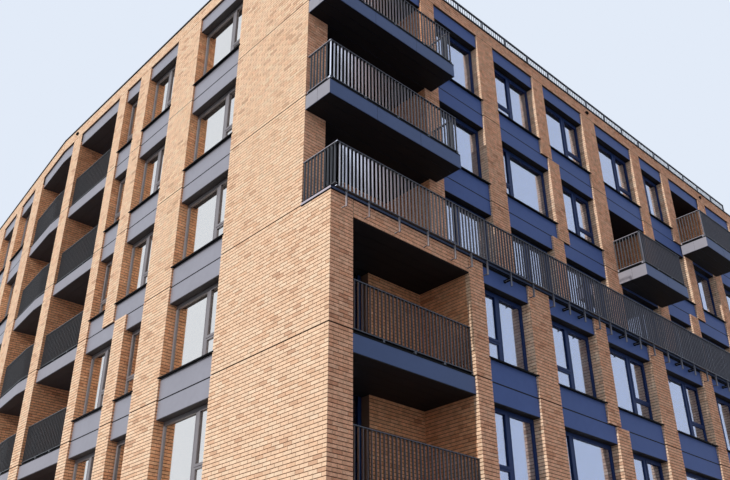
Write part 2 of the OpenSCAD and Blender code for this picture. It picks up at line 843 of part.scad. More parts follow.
// Floors, one slab a storey in each wing, the roof among them
function slab_low(k) = k == 0 ? 0 : level(k) - slab_t;
function slab_high(k) = k == 0 ? ground_t : level(k);
wing_in = wing_depth - wall_t;
module right_wing_floors() {
    color(concrete)
        for (k = [0 : storeys]) {
            y0 = wall_t + (k > lower_storeys ? set_back : 0);
            translate([wall_t, y0, slab_low(k)])
                cube([right_len - party_t - wall_t, wing_in - y0, slab_high(k) - slab_low(k)]);
        }
}
module left_wing_floors() {
    color(concrete)
        for (k = [0 : storeys])
            translate([0, 0, slab_low(k)])
                linear_extrude(slab_high(k) - slab_low(k))
                    polygon([
                        [wall_t, wing_in], mitre(wall_t), inner_end(party_t, wall_t),
                        [wing_in, left_end_y - party_t], [wing_in, wing_in]
                    ]);
}

// Roof edge
parapet_z = roof_z + top_panel_up;
module street_parapets() {
    color(brick)
        translate([0, 0, parapet_z]) linear_extrude(parapet_top - parapet_z) {
            polygon([[0, set_back], mitre(0), mitre(wall_t), [wall_t, set_back]]);
            polygon([
                bent(joint_t, 0), wing_end(0), wing_end(wall_t),
                bent(joint_t + wall_t * tan(bend_deg / 2), wall_t)
            ]);
            translate([wall_t + joint_t, set_back]) square([right_len - wall_t - joint_t, wall_t]);
        }
}
module court_parapets() {
    color(brick)
        translate([0, 0, parapet_z]) linear_extrude(parapet_top - parapet_z) {
            translate([wing_in, wing_in]) square([wall_t, left_end_y - wing_in]);
            translate([wing_depth + joint_t, wing_in]) square([court_b_len - joint_t, wall_t]);
        }
}
module party_walls() {
    x = right_len - party_t;
    color(brick) {
        translate([x, wall_t, 0]) cube([party_t, wing_in - wall_t, terrace_z]);
        translate([x, wall_t + set_back, terrace_z + joint_t])
            cube([party_t, wing_in - wall_t - set_back, parapet_top - terrace_z - joint_t]);
        linear_extrude(parapet_top)
            polygon([
                inner_end(party_t, wall_t), wing_end(wall_t),
                [wing_in, left_end_y], [wing_in, left_end_y - party_t]
            ]);
    }
}
function roof_outline(v) = [
    [v, set_back + v], mitre(v), inner_end(v, v), [wing_depth - v, left_end_y - v],
    [wing_depth - v, wing_depth - v], [right_len - v, wing_depth - v], [right_len - v, set_back + v]
];
module roof_coping() {
    color(dark)
        translate([0, 0, parapet_top])
            linear_extrude(coping_t)
                difference() {
                    polygon(roof_outline(-roof_coping_over));
                    polygon(roof_outline(wall_t + roof_coping_over));
                }
}
// Overflow spouts of the roof, through the parapet over the piers
spout_w = 120;
spout_h = 80;
spout_out = 70;
spout_wall = 8;
spout_drop = 275;
module spout() {
    translate([-spout_w / 2, -spout_out, parapet_top - spout_drop])
        difference() {
            cube([spout_w, spout_out, spout_h]);
            translate([spout_wall, -eps, spout_wall])
                cube([spout_w - 2 * spout_wall, spout_out - spout_wall + eps, spout_h - 2 * spout_wall]);
        }
}
module roof_spouts() {
    top = right_run(storeys - 1);
    color(dark) {
        on_left() translate([loggia_b_at - pier_c_w / 3, 0, 0]) spout();
        for (i = [8, 14])
            on_right(storeys - 1) translate([sum(top, i) + top[i] / 2, 0, 0]) spout();
    }
}

// Courtyard faces
module court_piers() {
    a = court_run(court_a_len);
    b = court_run(court_b_len);
    color(brick)
        for (k = [0 : storeys - 1]) {
            on_court_a() run_piers(a, k, 0, len(a) - 1, -wall_t);
            on_court_b() run_piers(b, k, 0, len(b) - 1, joint_t);
        }
}
module court_panels() {
    color(metal)
        for (k = [0 : storeys - 1])
            each_court_window() {
                lower_panel(court_bay_w, k);
                upper_panel(court_bay_w, k, false);
            }
}
module court_sills() {
    color(dark) for (k = [0 : storeys - 1]) each_court_window() sill(court_bay_w, k);
}
module court_window_frames() {
    color(dark)
        for (k = [0 : storeys - 1]) each_court_window() bay_frame(court_bay_w, k, false, 1, side_light_s);
}
module court_window_glass() {
    color(glazing)
        for (k = [0 : storeys - 1]) each_court_window() bay_glass(court_bay_w, k, false, 1, side_light_s);
}

left_corner_wall();
left_piers();
left_panels();
left_sills();
left_window_frames();
left_window_glass();
right_lower_piers();
right_upper_piers();
corner_lintel();
right_lower_panels();
right_upper_panels();
right_sills();
right_window_frames();
right_window_glass();
movement_joints();
loggia_side_walls();
loggia_back_walls();
loggia_door_frames();
loggia_door_glass();
loggia_edges();
loggia_soffits();
loggia_railings();
balcony_slabs();
balcony_front_railings();
balcony_front_bars();
balcony_end_railings();
terrace_coping();
terrace_railing();
terrace_end_railing();
roof_guard_rail();
right_wing_floors();
left_wing_floors();
street_parapets();
court_parapets();
party_walls();
roof_coping();
roof_spouts();
court_piers();
court_panels();
court_sills();
court_window_frames();
court_window_glass();
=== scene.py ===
"""Looks of the corner apartment block: real facing bricks, sashes, soffit boards and
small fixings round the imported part, its finishes, and the stage.

The sizes are in metres, in the part's frame: +X runs along the right street face,
+Y along the left one, and +Z is up from the ground. k is a storey, counted from 0,
and a run lists the widths of its piers and voids in turn, from the corner.
"""

import math
from collections import namedtuple

import bpy
import numpy as np
from bpy.props import FloatProperty, FloatVectorProperty, IntProperty, PointerProperty
from mathutils import Matrix, Vector


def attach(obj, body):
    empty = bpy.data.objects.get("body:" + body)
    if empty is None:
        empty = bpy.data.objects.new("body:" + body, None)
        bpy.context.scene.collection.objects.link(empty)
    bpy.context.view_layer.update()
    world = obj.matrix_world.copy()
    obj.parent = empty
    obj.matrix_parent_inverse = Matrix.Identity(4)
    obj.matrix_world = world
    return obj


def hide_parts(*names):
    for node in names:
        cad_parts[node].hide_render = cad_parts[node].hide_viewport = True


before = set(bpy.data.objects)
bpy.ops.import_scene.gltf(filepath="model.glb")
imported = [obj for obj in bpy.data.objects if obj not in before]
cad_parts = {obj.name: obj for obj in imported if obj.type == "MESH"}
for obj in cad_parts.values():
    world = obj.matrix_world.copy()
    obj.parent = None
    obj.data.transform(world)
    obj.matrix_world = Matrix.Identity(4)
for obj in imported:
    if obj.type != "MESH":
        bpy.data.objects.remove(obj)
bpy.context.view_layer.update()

bl_info = {
    "name": "Corner Apartment Block",
    "version": (1, 0, 0),
    "blender": (4, 5, 0),
    "location": "View3D > Sidebar > Apartment Block",
    "description": "Facing bricks, sashes, soffits, finishes and stage of the block",
    "category": "Object",
}

# ---------------------------------------------------------------- sizes of the block

STOREY = 3.0
STOREYS = 7
LOWER = 4  # storeys below the roof terrace
TERRACE = STOREY * LOWER
ROOF = STOREY * STOREYS
PARAPET = ROOF + 0.13
PARAPET_TOP = ROOF + 0.59
GROUND = 0.2  # top of the lowest floor
SLAB = 0.3

WING = 12.0  # depth of a wing
RIGHT_LENGTH = 24.3
SET_BACK = 0.95  # of the right face above the terrace
LEFT_END = 23.6595
BEND_AT = 15.5  # where the left face turns, from the corner
BEND = math.radians(5.7)
BENT_LENGTH = 8.2

WALL = 0.4
GAP = 0.022  # movement joint at each floor
PANEL_IN = 0.045  # metal panels behind the face of the bricks
PANEL_DOWN = 0.45  # their underside, below the floor above
TERRACE_PANEL_DOWN = 0.5  # the same under the terrace
ROOF_PANEL_DOWN = 0.34  # and under the roof
HEAD_IN = PANEL_IN + 0.005  # boards under those panels
LINTEL = 0.45
LINTEL_IN = 0.015  # boards under the corner lintel
EDGE = 0.42  # height of the metal edge of a balcony or a loggia
BOARD = 0.018

CORNER_BALCONY, CORNER_REACH = 4.4, 0.86  # end of the corner balconies, and how far they stand out
BALCONY_REACH = 1.0
BALCONY_BEFORE, BALCONY_PAST = 0.1, 0.15  # how far the others pass the start and the end of their loggia
POST_SPAN = 0.93  # widest step between the posts of the terrace railing over a panel
HANGER_DROP, RAIL_DROP = 0.4, 0.025  # foot of those posts and of the railing's low rail, below the terrace

REVEAL = 0.25  # window frames behind the face of the bricks
FRAME_D = 0.08
FRAME_W = 0.06
GLASS = 0.024
MULLION = 0.12
HEAD_BOX = 0.09
SILL_TOP = 0.58
TRANSOM = 1.15  # low rail of a side light, above the floor
NARROW = 1.2  # a window under this width has no side light
WIDE_LIGHT, SLIM_LIGHT = 0.73, 0.57  # widths of side lights

LOGGIA = 1.6  # depth of a loggia
DOOR = 1.95
CORNER_BAY, NEAR_BAY, FAR_BAY = 1, 9, 13  # voids of the right face that are loggias on some storeys
CORNER_LOGGIA = (0.6, 4.3)  # start and end of the lower corner loggias
LEFT_BAY = 7  # void of the left face that is a loggia
LEFT_LOGGIA = 2.8  # its width
BEND_LOGGIA = 14.6  # where the loggia at the bend starts
BENT_END = 2.15  # and where it ends, past the bend


def is_upper(k):
    return k >= LOWER


def is_top(k):
    return k == STOREYS - 1


def turn(k):
    """0 or 1: which way the moving piers of storey k stand."""
    return (k - LOWER if is_upper(k) else LOWER - 1 - k) % 2


def left_run(k):
    near, far = (1.7, 0.95) if is_upper(k) else (0.95, 1.7)
    return [3.92, 2.28, 1.25, near, 0.6, far, 0.5, LEFT_LOGGIA, 0.6]


def bent_run():
    return [1.0, 1.7, 0.65, 1.7, 1.0]


def right_run(k):
    near = turn(k) * 0.35
    far = turn(k) * 0.6 if is_upper(k) else 0.0
    wide = 0.1 if is_upper(k) else 0.0
    deep = 0.0 if is_upper(k) else 0.15
    return [0.6, 3.55 + deep, 0.65 - deep - wide, 1.8 + 2 * wide, 0.85 - wide, 2.1 + near, 0.55, 2.3 - near, 0.8,
            2.4, 0.6, 1.65 + far, 0.55, 2.4 - far, 0.6, 2.1, 0.8]


def court_run(length):
    window = 2.2
    pier = (length - 3 * window) / 4
    return [pier, window, pier, window, pier, window, pier]


def spans(run):
    """(number, start, end) of each entry of a run of widths."""
    edges = np.concatenate([[0.0], np.cumsum(run)])
    return [(i, float(edges[i]), float(edges[i + 1])) for i in range(len(run))]


def voids(run):
    return [span for span in spans(run) if span[0] % 2]


def right_open(k, i):
    """Whether void i of storey k is a loggia instead of a window."""
    if i == CORNER_BAY:
        return True
    if i == NEAR_BAY:
        return k == STOREYS - 2
    return i == FAR_BAY and (not is_upper(k) or is_top(k))


def right_voids(k, is_open):
    """The loggias of a storey of the right face, or its windows."""
    return [void for void in voids(right_run(k)) if right_open(k, void[0]) == is_open]


def left_windows(k):
    return [void for void in voids(left_run(k)) if void[0] != LEFT_BAY]


def left_loggia(k):
    """Start and end of the straight loggia of the left face."""
    start = sum(left_run(k)[:LEFT_BAY])
    return start, start + LEFT_LOGGIA


def balconies():
    """Each balcony: storey, start, end, reach in front of the face."""
    found = []
    for k in range(LOWER + 1, STOREYS):
        found.append((k, 0.0, CORNER_BALCONY, CORNER_REACH))
        found += [(k, a - BALCONY_BEFORE, b + BALCONY_PAST, BALCONY_REACH)
                  for i, a, b in right_voids(k, True) if i != CORNER_BAY]
    return found


def panel_posts():
    """Where the posts of the terrace railing stand over a panel, beside those at its edges."""
    found = []
    for i, a, b in voids(right_run(LOWER - 1)):
        if i != CORNER_BAY:
            n = math.ceil((b - a) / POST_SPAN)
            found += [a + (b - a) * j / n for j in range(1, n)]
    return found


def foot(k):
    return 0.0 if k == 0 else k * STOREY + GAP


def head(k):
    return PARAPET if is_top(k) else (k + 1) * STOREY


def floor_z(k):
    return GROUND if k == 0 else k * STOREY


def ceiling_z(k):
    return (k + 1) * STOREY - SLAB


class Face:
    """A face of the block: u runs along it and v goes into the building."""

    def __init__(self, plan, forward, start=0.0):
        self.plan = plan
        self.forward = forward
        self.start = start

    def at(self, u, v):
        return Vector(self.plan(u + self.start, v))

    def front(self, u0, u1, v=0.0):
        """Ends of a strip along the face, walked with the street on the left."""
        ends = (u0, u1) if self.forward else (u1, u0)
        return self.at(ends[0], v), self.at(ends[1], v)

    def side(self, u, up, v0, v1):
        """Ends of a strip that goes into the building, seen from the side of larger u or not."""
        ends = (v0, v1) if self.forward == up else (v1, v0)
        return self.at(u, ends[0]), self.at(u, ends[1])


def on_bend(u, v):
    return (v * math.cos(BEND) + u * math.sin(BEND),
            BEND_AT + u * math.cos(BEND) - v * math.sin(BEND))


LEFT = Face(lambda u, v: (v, u), True)
BENT = Face(on_bend, True, BENT_END)
BENT_LOGGIA = Face(on_bend, True)
RIGHT_LOW = Face(lambda u, v: (u, v), False)
RIGHT_HIGH = Face(lambda u, v: (u, v + SET_BACK), False)
COURT_A = Face(lambda u, v: (WING - v, WING + u), False)
COURT_B = Face(lambda u, v: (WING + u, WING - v), True)
COURTS = ((COURT_A, LEFT_END - WING), (COURT_B, RIGHT_LENGTH - WING))


def right_face(k):
    return RIGHT_HIGH if is_upper(k) else RIGHT_LOW


def panel_low(face, k):
    """Underside of the metal panel over the voids of storey k."""
    if is_top(k):
        return ROOF - ROOF_PANEL_DOWN
    under_terrace = face is RIGHT_LOW and k == LOWER - 1
    return (k + 1) * STOREY - (TERRACE_PANEL_DOWN if under_terrace else PANEL_DOWN)


def stand(ends, z):
    """Places a piece modelled along X, with its outside towards +Y, on a strip at height z."""
    p, q = ends
    d = (q - p).normalized()
    return Matrix(((d.x, -d.y, 0, p.x), (d.y, d.x, 0, p.y), (0, 0, 1, z), (0, 0, 0, 1)))


# light is the width of the side light, at the start of the window where side is 1 and at its end where it is -1.
Window = namedtuple("Window", "face k start width light side", defaults=[1])

# A straight part of a loggia: door is where its door starts, top the underside of what closes it at its top,
# and inset how far behind the face that stands.
Bay = namedtuple("Bay", "face start end door top inset bent", defaults=[False])


def windows():
    """Every window of the block."""
    found = []
    for k in range(STOREYS):
        for face, openings in ((LEFT, left_windows(k)), (BENT, voids(bent_run()))):
            found += [Window(face, k, a, b - a, WIDE_LIGHT) for i, a, b in openings]
        for i, a, b in right_voids(k, False):
            light = {3: WIDE_LIGHT, 5: SLIM_LIGHT if turn(k) else 0.98, 7: 0.84, 9: 0.84}.get(i, SLIM_LIGHT)
            found.append(Window(right_face(k), k, a, b - a, light, -1 if i in (7, 9) else 1))
        for face, length in COURTS:
            found += [Window(face, k, a, b - a, SLIM_LIGHT) for i, a, b in voids(court_run(length))]
    return found


def panes(window):
    """Openings of a window's frame: (x0, x1, z0, z1, whether it opens)."""
    width, light = window.width, window.light
    z0 = window.k * STOREY + SILL_TOP + FRAME_W
    z1 = panel_low(window.face, window.k) - HEAD_BOX
    rail = window.k * STOREY + TRANSOM
    a, b = FRAME_W, width - FRAME_W
    if width < NARROW:
        return [(a, b, z0, rail, False), (a, b, rail + FRAME_W, z1, True)]
    if window.side > 0:
        side, main = (a, light), (light + MULLION, b)
    else:
        side, main = (width - light, b), (a, width - light - MULLION)
    return [(*side, z0, rail, False), (*side, rail + FRAME_W, z1, True), (*main, z0, z1, False)]


def right_top(k, i):
    """Underside of what closes loggia i of the right face at its top, and how far in it stands."""
    if k == LOWER - 1 and i == CORNER_BAY:
        return TERRACE - LINTEL, LINTEL_IN
    if is_top(k) or k == LOWER - 1 or not right_open(k + 1, i):
        return panel_low(right_face(k), k), HEAD_IN
    return (k + 1) * STOREY - EDGE, 0.0 if is_upper(k) else HEAD_IN


def bays(k):
    """Every straight part of the loggias of storey k."""
    found = [Bay(right_face(k), a, b, a, *right_top(k, i)) for i, a, b in right_voids(k, True)]
    top = panel_low(LEFT, k) if is_top(k) else (k + 1) * STOREY - EDGE
    start, end = left_loggia(k)
    return found + [
        Bay(LEFT, start, end, end - DOOR, top, HEAD_IN),
        Bay(LEFT, BEND_LOGGIA, BEND_AT, None, top, HEAD_IN, True),
        Bay(BENT_LOGGIA, 0, BENT_END, BENT_END - DOOR, top, HEAD_IN, True),
    ]


# ---------------------------------------------------------------- properties

def colour(name, text, value):
    return FloatVectorProperty(name=name, description=text, default=value, size=3, min=0, max=1, subtype="COLOR")


def metres(name, text, value):
    return FloatProperty(name=name, description=text, default=value, unit="LENGTH")


def angle(name, text, value):
    return FloatProperty(name=name, description=text, default=math.radians(value), subtype="ANGLE")


def amount(name, text, value):
    return FloatProperty(name=name, description=text, default=value, min=0)


class BlockBricks(bpy.types.PropertyGroup):
    pitch: metres("Pitch", "Length of a brick with its joint", 0.25)
    course: metres("Course", "Height of a brick with its joint", 0.08333)
    joint: metres("Joint", "Width of the bed joints", 0.017)
    perpend: metres("Perpend", "Width of the upright joints", 0.010)
    proud: metres("Relief", "Depth of the raked joints", 0.011)
    lip: metres("Lip", "Brick edge kept clear of a movement joint", 0.006)
    seed: IntProperty(name="Seed", description="Choice of which brick has which tone", default=11)
    buff: colour("Buff", "Palest bricks of the left face", (0.98, 0.74, 0.54))
    peach: colour("Peach", "Most bricks of the left face", (0.96, 0.67, 0.47))
    salmon: colour("Salmon", "Redder bricks of the left face", (0.88, 0.57, 0.38))
    brown: colour("Brown", "Darkest bricks of the left face", (0.70, 0.43, 0.285))
    # Painted shade: the right face's bricks are a darker, redder copy of the same bricks, keeping this share of each
    # colour.
    street: colour("Street", "How much of each colour the right face's bricks keep", (0.90, 0.70, 0.66))
    # Painted shade: the bricks of the loggias and of the left reveals are a darker copy of the same bricks, keeping
    # this share of each colour.
    shade: colour("Shade", "How much of each colour the bricks of loggias and left reveals keep", (0.88, 0.64, 0.50))
    # Painted light and shade: mortar_bed uses two copies of one mortar, this darker one on most faces and the next,
    # lighter one on the faces that look along X, as the sunlit left face does.
    mortar: colour("Mortar", "Mortar in the joints", (0.07, 0.036, 0.023))
    # Painted sunlight: this lighter mortar is not bleached; it is the sunlit copy.
    painted_sun_mortar: colour("Sunny mortar", "Mortar of the left face, bleached by the sun", (0.18, 0.105, 0.068))
    # Partly painted shade: the sealant is dark, and its near-black also stands in for the shade in the recessed
    # movement joints.
    filler: colour("Filler", "Sealant in the movement joints", (0.006, 0.004, 0.003))


class BlockMetal(bpy.types.PropertyGroup):
    # Painted light and shade: the left, right and balcony claddings are copies of one grey coating, the pale grey
    # sunlit and the navy ones shaded, their blue standing in for skylight in the shade.
    sunny: colour("Left cladding", "Panels of the left face and courtyard, ends of balconies", (0.33, 0.325, 0.38))
    street: colour("Right cladding", "Panels of the right face", (0.082, 0.140, 0.39))
    balcony: colour("Balcony cladding", "Fronts of the balconies and of the right loggias", (0.060, 0.100, 0.240))
    # Painted light and shade: the frame coatings are copies of one coating, the grey sunlit on the left face and the
    # navy shaded on the others.
    sunny_window: colour("Left window frames", "Coating of the left face's frames", (0.25, 0.235, 0.255))
    window: colour("Window frames", "Coating of the other frames and sashes", (0.016, 0.040, 0.145))
    # Painted light and shade: the railing coatings are copies of one coating, lighter where the sun falls on the left
    # face and the ends, darker on the shaded right face.
    sunny_railing: colour("Left railings", "Railings of the left face", (0.10, 0.107, 0.12))
    end_railing: colour("End railings", "Railings across the ends of balconies and terrace", (0.10, 0.105, 0.12))
    railing: colour("Railings", "Fronts of the right face's railings", (0.075, 0.087, 0.125))
    # Painted highlight: this bright metal goes on the flanks of the right face's bars only, while their fronts take
    # the dark coat; its reflections are rendered.
    flank_sheen: colour("Bar flanks", "Satin metal on the flanks of the right face's bars", (0.86, 0.87, 0.95))
    trim: colour("Trim", "Sills, drips, upstands and spouts", (0.005, 0.005, 0.006))
    coping: colour("Copings", "Sheet metal along the roof", (0.020, 0.020, 0.024))
    # Painted sunlight: the terrace coping's faces that look along X take this pale colour.
    coping_end: colour("Coping end", "Sunny edge of the terrace coping", (0.55, 0.50, 0.58))
    # Partly painted shade: the boards are dark, and their near-black also stands in for the shade under ceilings,
    # panels and balconies; the left copy is lighter as painted bounce light.
    soffit: colour("Soffit", "Boards under the right face's ceilings", (0.008, 0.007, 0.009))
    sunny_soffit: colour("Left soffit", "Boards under the left face's ceilings", (0.06, 0.054, 0.058))
    # Painted shadow on the strips over the panel joints and under the terrace coping; dark seams at the balconies.
    seam_and_shadow: colour("Seam_and_shadow", "Dark strips in the joints of the panels", (0.006, 0.006, 0.008))
    # Painted reflection: the two glazings are copies of one glass; the left one is warmer and mirrors more, the other
    # bluer and mirrors less, standing in for the light each face reflects; the reflections themselves are rendered.
    glass: colour("Glass", "Tint of the right face's and courtyard's glazing", (0.70, 0.77, 0.96))
    sunny_glass: colour("Left glass", "Tint of the left face's glazing", (1.0, 0.94, 0.86))
    mirror: amount("Glass mirror", "Share of the right face's and courtyard's glass that mirrors", 0.52)
    sunny_mirror: amount("Left glass mirror", "Share of the left face's glass that mirrors", 0.85)
    board: metres("Board", "Width of a soffit board", 0.3)


class BlockStage(bpy.types.PropertyGroup):
    sun: amount("Key", "Strength of the key lamp", 2.27)
    height: angle("Key height", "Height of the key lamp", 27)
    swing: angle("Key swing", "Turn of the key lamp from the left face's normal", 2.5)
    spread: angle("Key spread", "Width of the key lamp, which softens its shadows", 0.6)
    fill: amount("Fill", "Strength of the even light from all round", 0.53)
    backdrop: colour("Backdrop", "Pale background, also seen in the glass", (0.76, 0.83, 0.94))
    ground: colour("Floor", "Plain pale floor", (0.80, 0.80, 0.80))
    bounce: colour("Floor bounce", "Floor as it lights the block", (0.20, 0.20, 0.20))


# ---------------------------------------------------------------- modelling helpers

def deselect():
    if bpy.context.object is not None and bpy.context.object.mode != "OBJECT":
        bpy.ops.object.mode_set(mode="OBJECT")
    bpy.ops.object.select_all(action="DESELECT")


def select(*pieces):
    deselect()
    for piece in pieces:
        piece.select_set(True)
    bpy.context.view_layer.objects.active = pieces[0]


def settle():
    """Puts the new piece's place and size in its mesh."""
    bpy.ops.object.transform_apply(location=True, rotation=True, scale=True)
    return bpy.context.object


def block(low, high):
    """A box between two corners."""
    deselect()
    low, high = Vector(low), Vector(high)
    bpy.ops.mesh.primitive_cube_add(size=1, location=(low + high) / 2, scale=high - low)
    return settle()


def sheet(centre, width, height, rotation=(0, 0, 0)):
    """A flat rectangle."""
    deselect()
    bpy.ops.mesh.primitive_plane_add(size=1, location=centre, rotation=rotation)
    bpy.context.object.scale = (width, height, 1)
    return settle()


def upward(centre, normal):
    return normal.z > 0.5


def downward(centre, normal):
    return normal.z < -0.5


def pick(piece, wanted):
    """Selects the faces that wanted(centre, normal) takes, and opens edit mode."""
    select(piece)
    for elements in (piece.data.vertices, piece.data.edges):
        elements.foreach_set("select", [False] * len(elements))
    for face in piece.data.polygons:
        face.select = wanted(face.center, face.normal)
    bpy.ops.object.mode_set(mode="EDIT")
    bpy.ops.mesh.select_mode(type="FACE")


def drop(piece, wanted):
    """Takes the wanted faces away."""
    pick(piece, wanted)
    bpy.ops.mesh.delete(type="FACE")
    bpy.ops.object.mode_set(mode="OBJECT")


def pull(piece, wanted, step):
    """Extrudes the wanted faces."""
    pick(piece, wanted)
    bpy.ops.mesh.extrude_region_move(TRANSFORM_OT_translate={"value": step})
    bpy.ops.object.mode_set(mode="OBJECT")


def fold(piece, looks, y, outer, step):
    """Parts the faces that look up or down at y, and turns the outer or the inner part of them over."""
    pick(piece, looks)
    bpy.ops.mesh.bisect(plane_co=(0, y, 0), plane_no=(0, 1, 0))
    bpy.ops.object.mode_set(mode="OBJECT")
    pull(piece, lambda centre, normal: looks(centre, normal) and (centre.y > y) == outer, step)


def repeat(piece, count, step):
    """Array of count copies, each moved on by step."""
    if count > 1:
        select(piece)
        array = piece.modifiers.new("array", "ARRAY")
        array.count = count
        array.use_relative_offset = False
        array.use_constant_offset = True
        array.constant_offset_displace = step
        bpy.ops.object.modifier_apply(modifier=array.name)
    return piece


def soften(piece, width):
    """Chamfers the edges of a piece."""
    select(piece)
    bevel = piece.modifiers.new("bevel", "BEVEL")
    bevel.width = width
    bevel.segments = 1
    bpy.ops.object.modifier_apply(modifier=bevel.name)
    return piece


def join(pieces, name):
    if len(pieces) > 1:
        select(*pieces)
        bpy.ops.object.join()
    piece = pieces[0]
    piece.name = name
    piece.data.name = name
    return piece


def copy_to(template, matrix):
    """A copy with its own mesh, put in place in that mesh."""
    piece = template.copy()
    piece.data = template.data.copy()
    piece.data.transform(matrix)
    bpy.context.scene.collection.objects.link(piece)
    return piece


def set_on(piece, ends, z):
    """Puts a piece on a strip at height z, in its own mesh."""
    piece.data.transform(stand(ends, z))
    return piece


def discard(templates):
    for piece in templates:
        mesh = piece.data
        bpy.data.objects.remove(piece)
        bpy.data.meshes.remove(mesh)


def hand_over(piece, finish, replaces=()):
    """Puts a finished piece on the body, with its finish."""
    piece.data.materials.clear()
    piece.data.materials.append(finish)
    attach(piece, "root")
    if replaces:
        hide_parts(*replaces)
    return piece


# ---------------------------------------------------------------- brickwork

def bricks(x, length, z, height, proud, count=1, step=0.0):
    """A row of equal bricks without their hidden backs."""
    piece = block((x, 0, z), (x + length, proud, z + height))
    drop(piece, lambda centre, normal: normal.y < -0.5)
    return repeat(piece, count, (step, 0, 0))


BRICK_FACES = 5


def brickwork(width, height, sizes):
    """A strip of stretcher bond, its courses starting in turn with a whole and a half brick."""
    halves = max(1, round((width + sizes.perpend) / (sizes.pitch / 2)))
    half = (width + sizes.perpend) / halves
    rows = max(1, round((height + sizes.joint) / sizes.course))
    rise = (height + sizes.joint) / rows
    tall = rise - sizes.joint
    courses = []
    for odd in range(min(2, rows)):
        whole = (halves - odd) // 2
        z = odd * rise
        row = []
        if odd:
            row.append(bricks(0, half - sizes.perpend, z, tall, sizes.proud))
        if whole:
            long = 2 * half - sizes.perpend
            row.append(bricks(odd * half, long, z, tall, sizes.proud, whole, 2 * half))
        if (halves - odd) % 2:
            row.append(bricks((halves - 1) * half, half - sizes.perpend, z, tall, sizes.proud))
        courses.append(repeat(join(row, "course"), (rows + 1 - odd) // 2, (0, 0, 2 * rise)))
    return join(courses, "brickwork")


class Bricklayer:
    """Keeps one strip of each size and copies it to each place that needs it."""

    def __init__(self, sizes, finish):
        self.sizes = sizes
        self.surface = finish
        self.strips = {}
        self.laid = []

    def lay(self, ends, z0, z1):
        z0, z1 = z0 + self.sizes.lip, z1 - self.sizes.lip
        width = (ends[1] - ends[0]).length
        key = (round(width, 4), round(z1 - z0, 4))
        if key not in self.strips:
            self.strips[key] = brickwork(width, z1 - z0, self.sizes)
        self.laid.append(copy_to(self.strips[key], stand(ends, z0)))

    def lay_sides(self, face, a, b, depth, z0, z1):
        """Both side walls of an opening."""
        self.lay(face.side(a, True, 0, depth), z0, z1)
        self.lay(face.side(b, False, 0, depth), z0, z1)

    def lay_reveals(self, face, openings, k):
        """Both sides of each window of a storey."""
        for i, a, b in openings:
            self.lay_sides(face, a, b, REVEAL, foot(k), head(k))

    def lay_piers(self, face, run, k, skip=()):
        """Fronts of a storey's piers, carried round their edges by the thickness of a brick."""
        proud = self.sizes.proud
        for i, a, b in spans(run):
            if i % 2 == 0 and i not in skip:
                a -= proud if i > 0 else 0
                b += proud if i < len(run) - 1 else 0
                self.lay(face.front(a, b), foot(k), head(k))

    def finish(self, name):
        """Joins what is laid, and gives each brick its own tone."""
        piece = join(self.laid, name)
        discard(self.strips.values())
        faces = len(piece.data.polygons)
        chance = np.random.default_rng(self.sizes.seed + faces)
        tones = np.repeat(chance.random(faces // BRICK_FACES), BRICK_FACES)
        tone = piece.data.attributes.new("tone", "FLOAT", "FACE")
        tone.data.foreach_set("value", tones.astype(np.float32))
        return hand_over(piece, facing_brick(self.surface))


class BLOCK_OT_left_bricks(bpy.types.Operator):
    """Lays the facing bricks of the left street face"""

    bl_idname = "block.left_bricks"
    bl_label = "Left bricks"

    def execute(self, context):
        layer = Bricklayer(context.scene.block_bricks, "sunny_brick")
        proud = layer.sizes.proud
        for k in range(STOREYS):
            run, far = left_run(k), bent_run()
            start = SET_BACK if is_upper(k) else 0.0
            layer.lay(LEFT.front(start - proud, run[0] + proud), foot(k), head(k))
            layer.lay_piers(LEFT, run, k, skip=(0, len(run) - 1))
            layer.lay(LEFT.front(BEND_LOGGIA - run[-1] - proud, BEND_LOGGIA + proud), foot(k), head(k))
            layer.lay(BENT.front(-proud, far[0] + proud), foot(k), head(k))
            layer.lay_piers(BENT, far, k, skip=(0,))
        layer.finish("left_facing_bricks")
        return {"FINISHED"}


class BLOCK_OT_left_reveals(bpy.types.Operator):
    """Lays the bricks beside the windows of the left street face"""

    bl_idname = "block.left_reveals"
    bl_label = "Left reveal bricks"

    def execute(self, context):
        layer = Bricklayer(context.scene.block_bricks, "shade_brick")
        for k in range(STOREYS):
            layer.lay_reveals(LEFT, left_windows(k), k)
            layer.lay_reveals(BENT, voids(bent_run()), k)
        layer.finish("left_reveal_bricks")
        return {"FINISHED"}


class BLOCK_OT_right_bricks(bpy.types.Operator):
    """Lays the facing bricks of the right street face"""

    bl_idname = "block.right_bricks"
    bl_label = "Right bricks"

    def execute(self, context):
        layer = Bricklayer(context.scene.block_bricks, "street_brick")
        for k in range(STOREYS):
            layer.lay_piers(right_face(k), right_run(k), k)
            layer.lay_reveals(right_face(k), right_voids(k, False), k)
        proud, joint = layer.sizes.proud, layer.sizes.joint
        start, end = CORNER_LOGGIA
        layer.lay(RIGHT_LOW.front(start + proud + joint, end - proud - joint), TERRACE - LINTEL, TERRACE)
        layer.lay(RIGHT_HIGH.front(0, RIGHT_LENGTH), PARAPET + joint, PARAPET_TOP)
        layer.finish("right_facing_bricks")
        return {"FINISHED"}


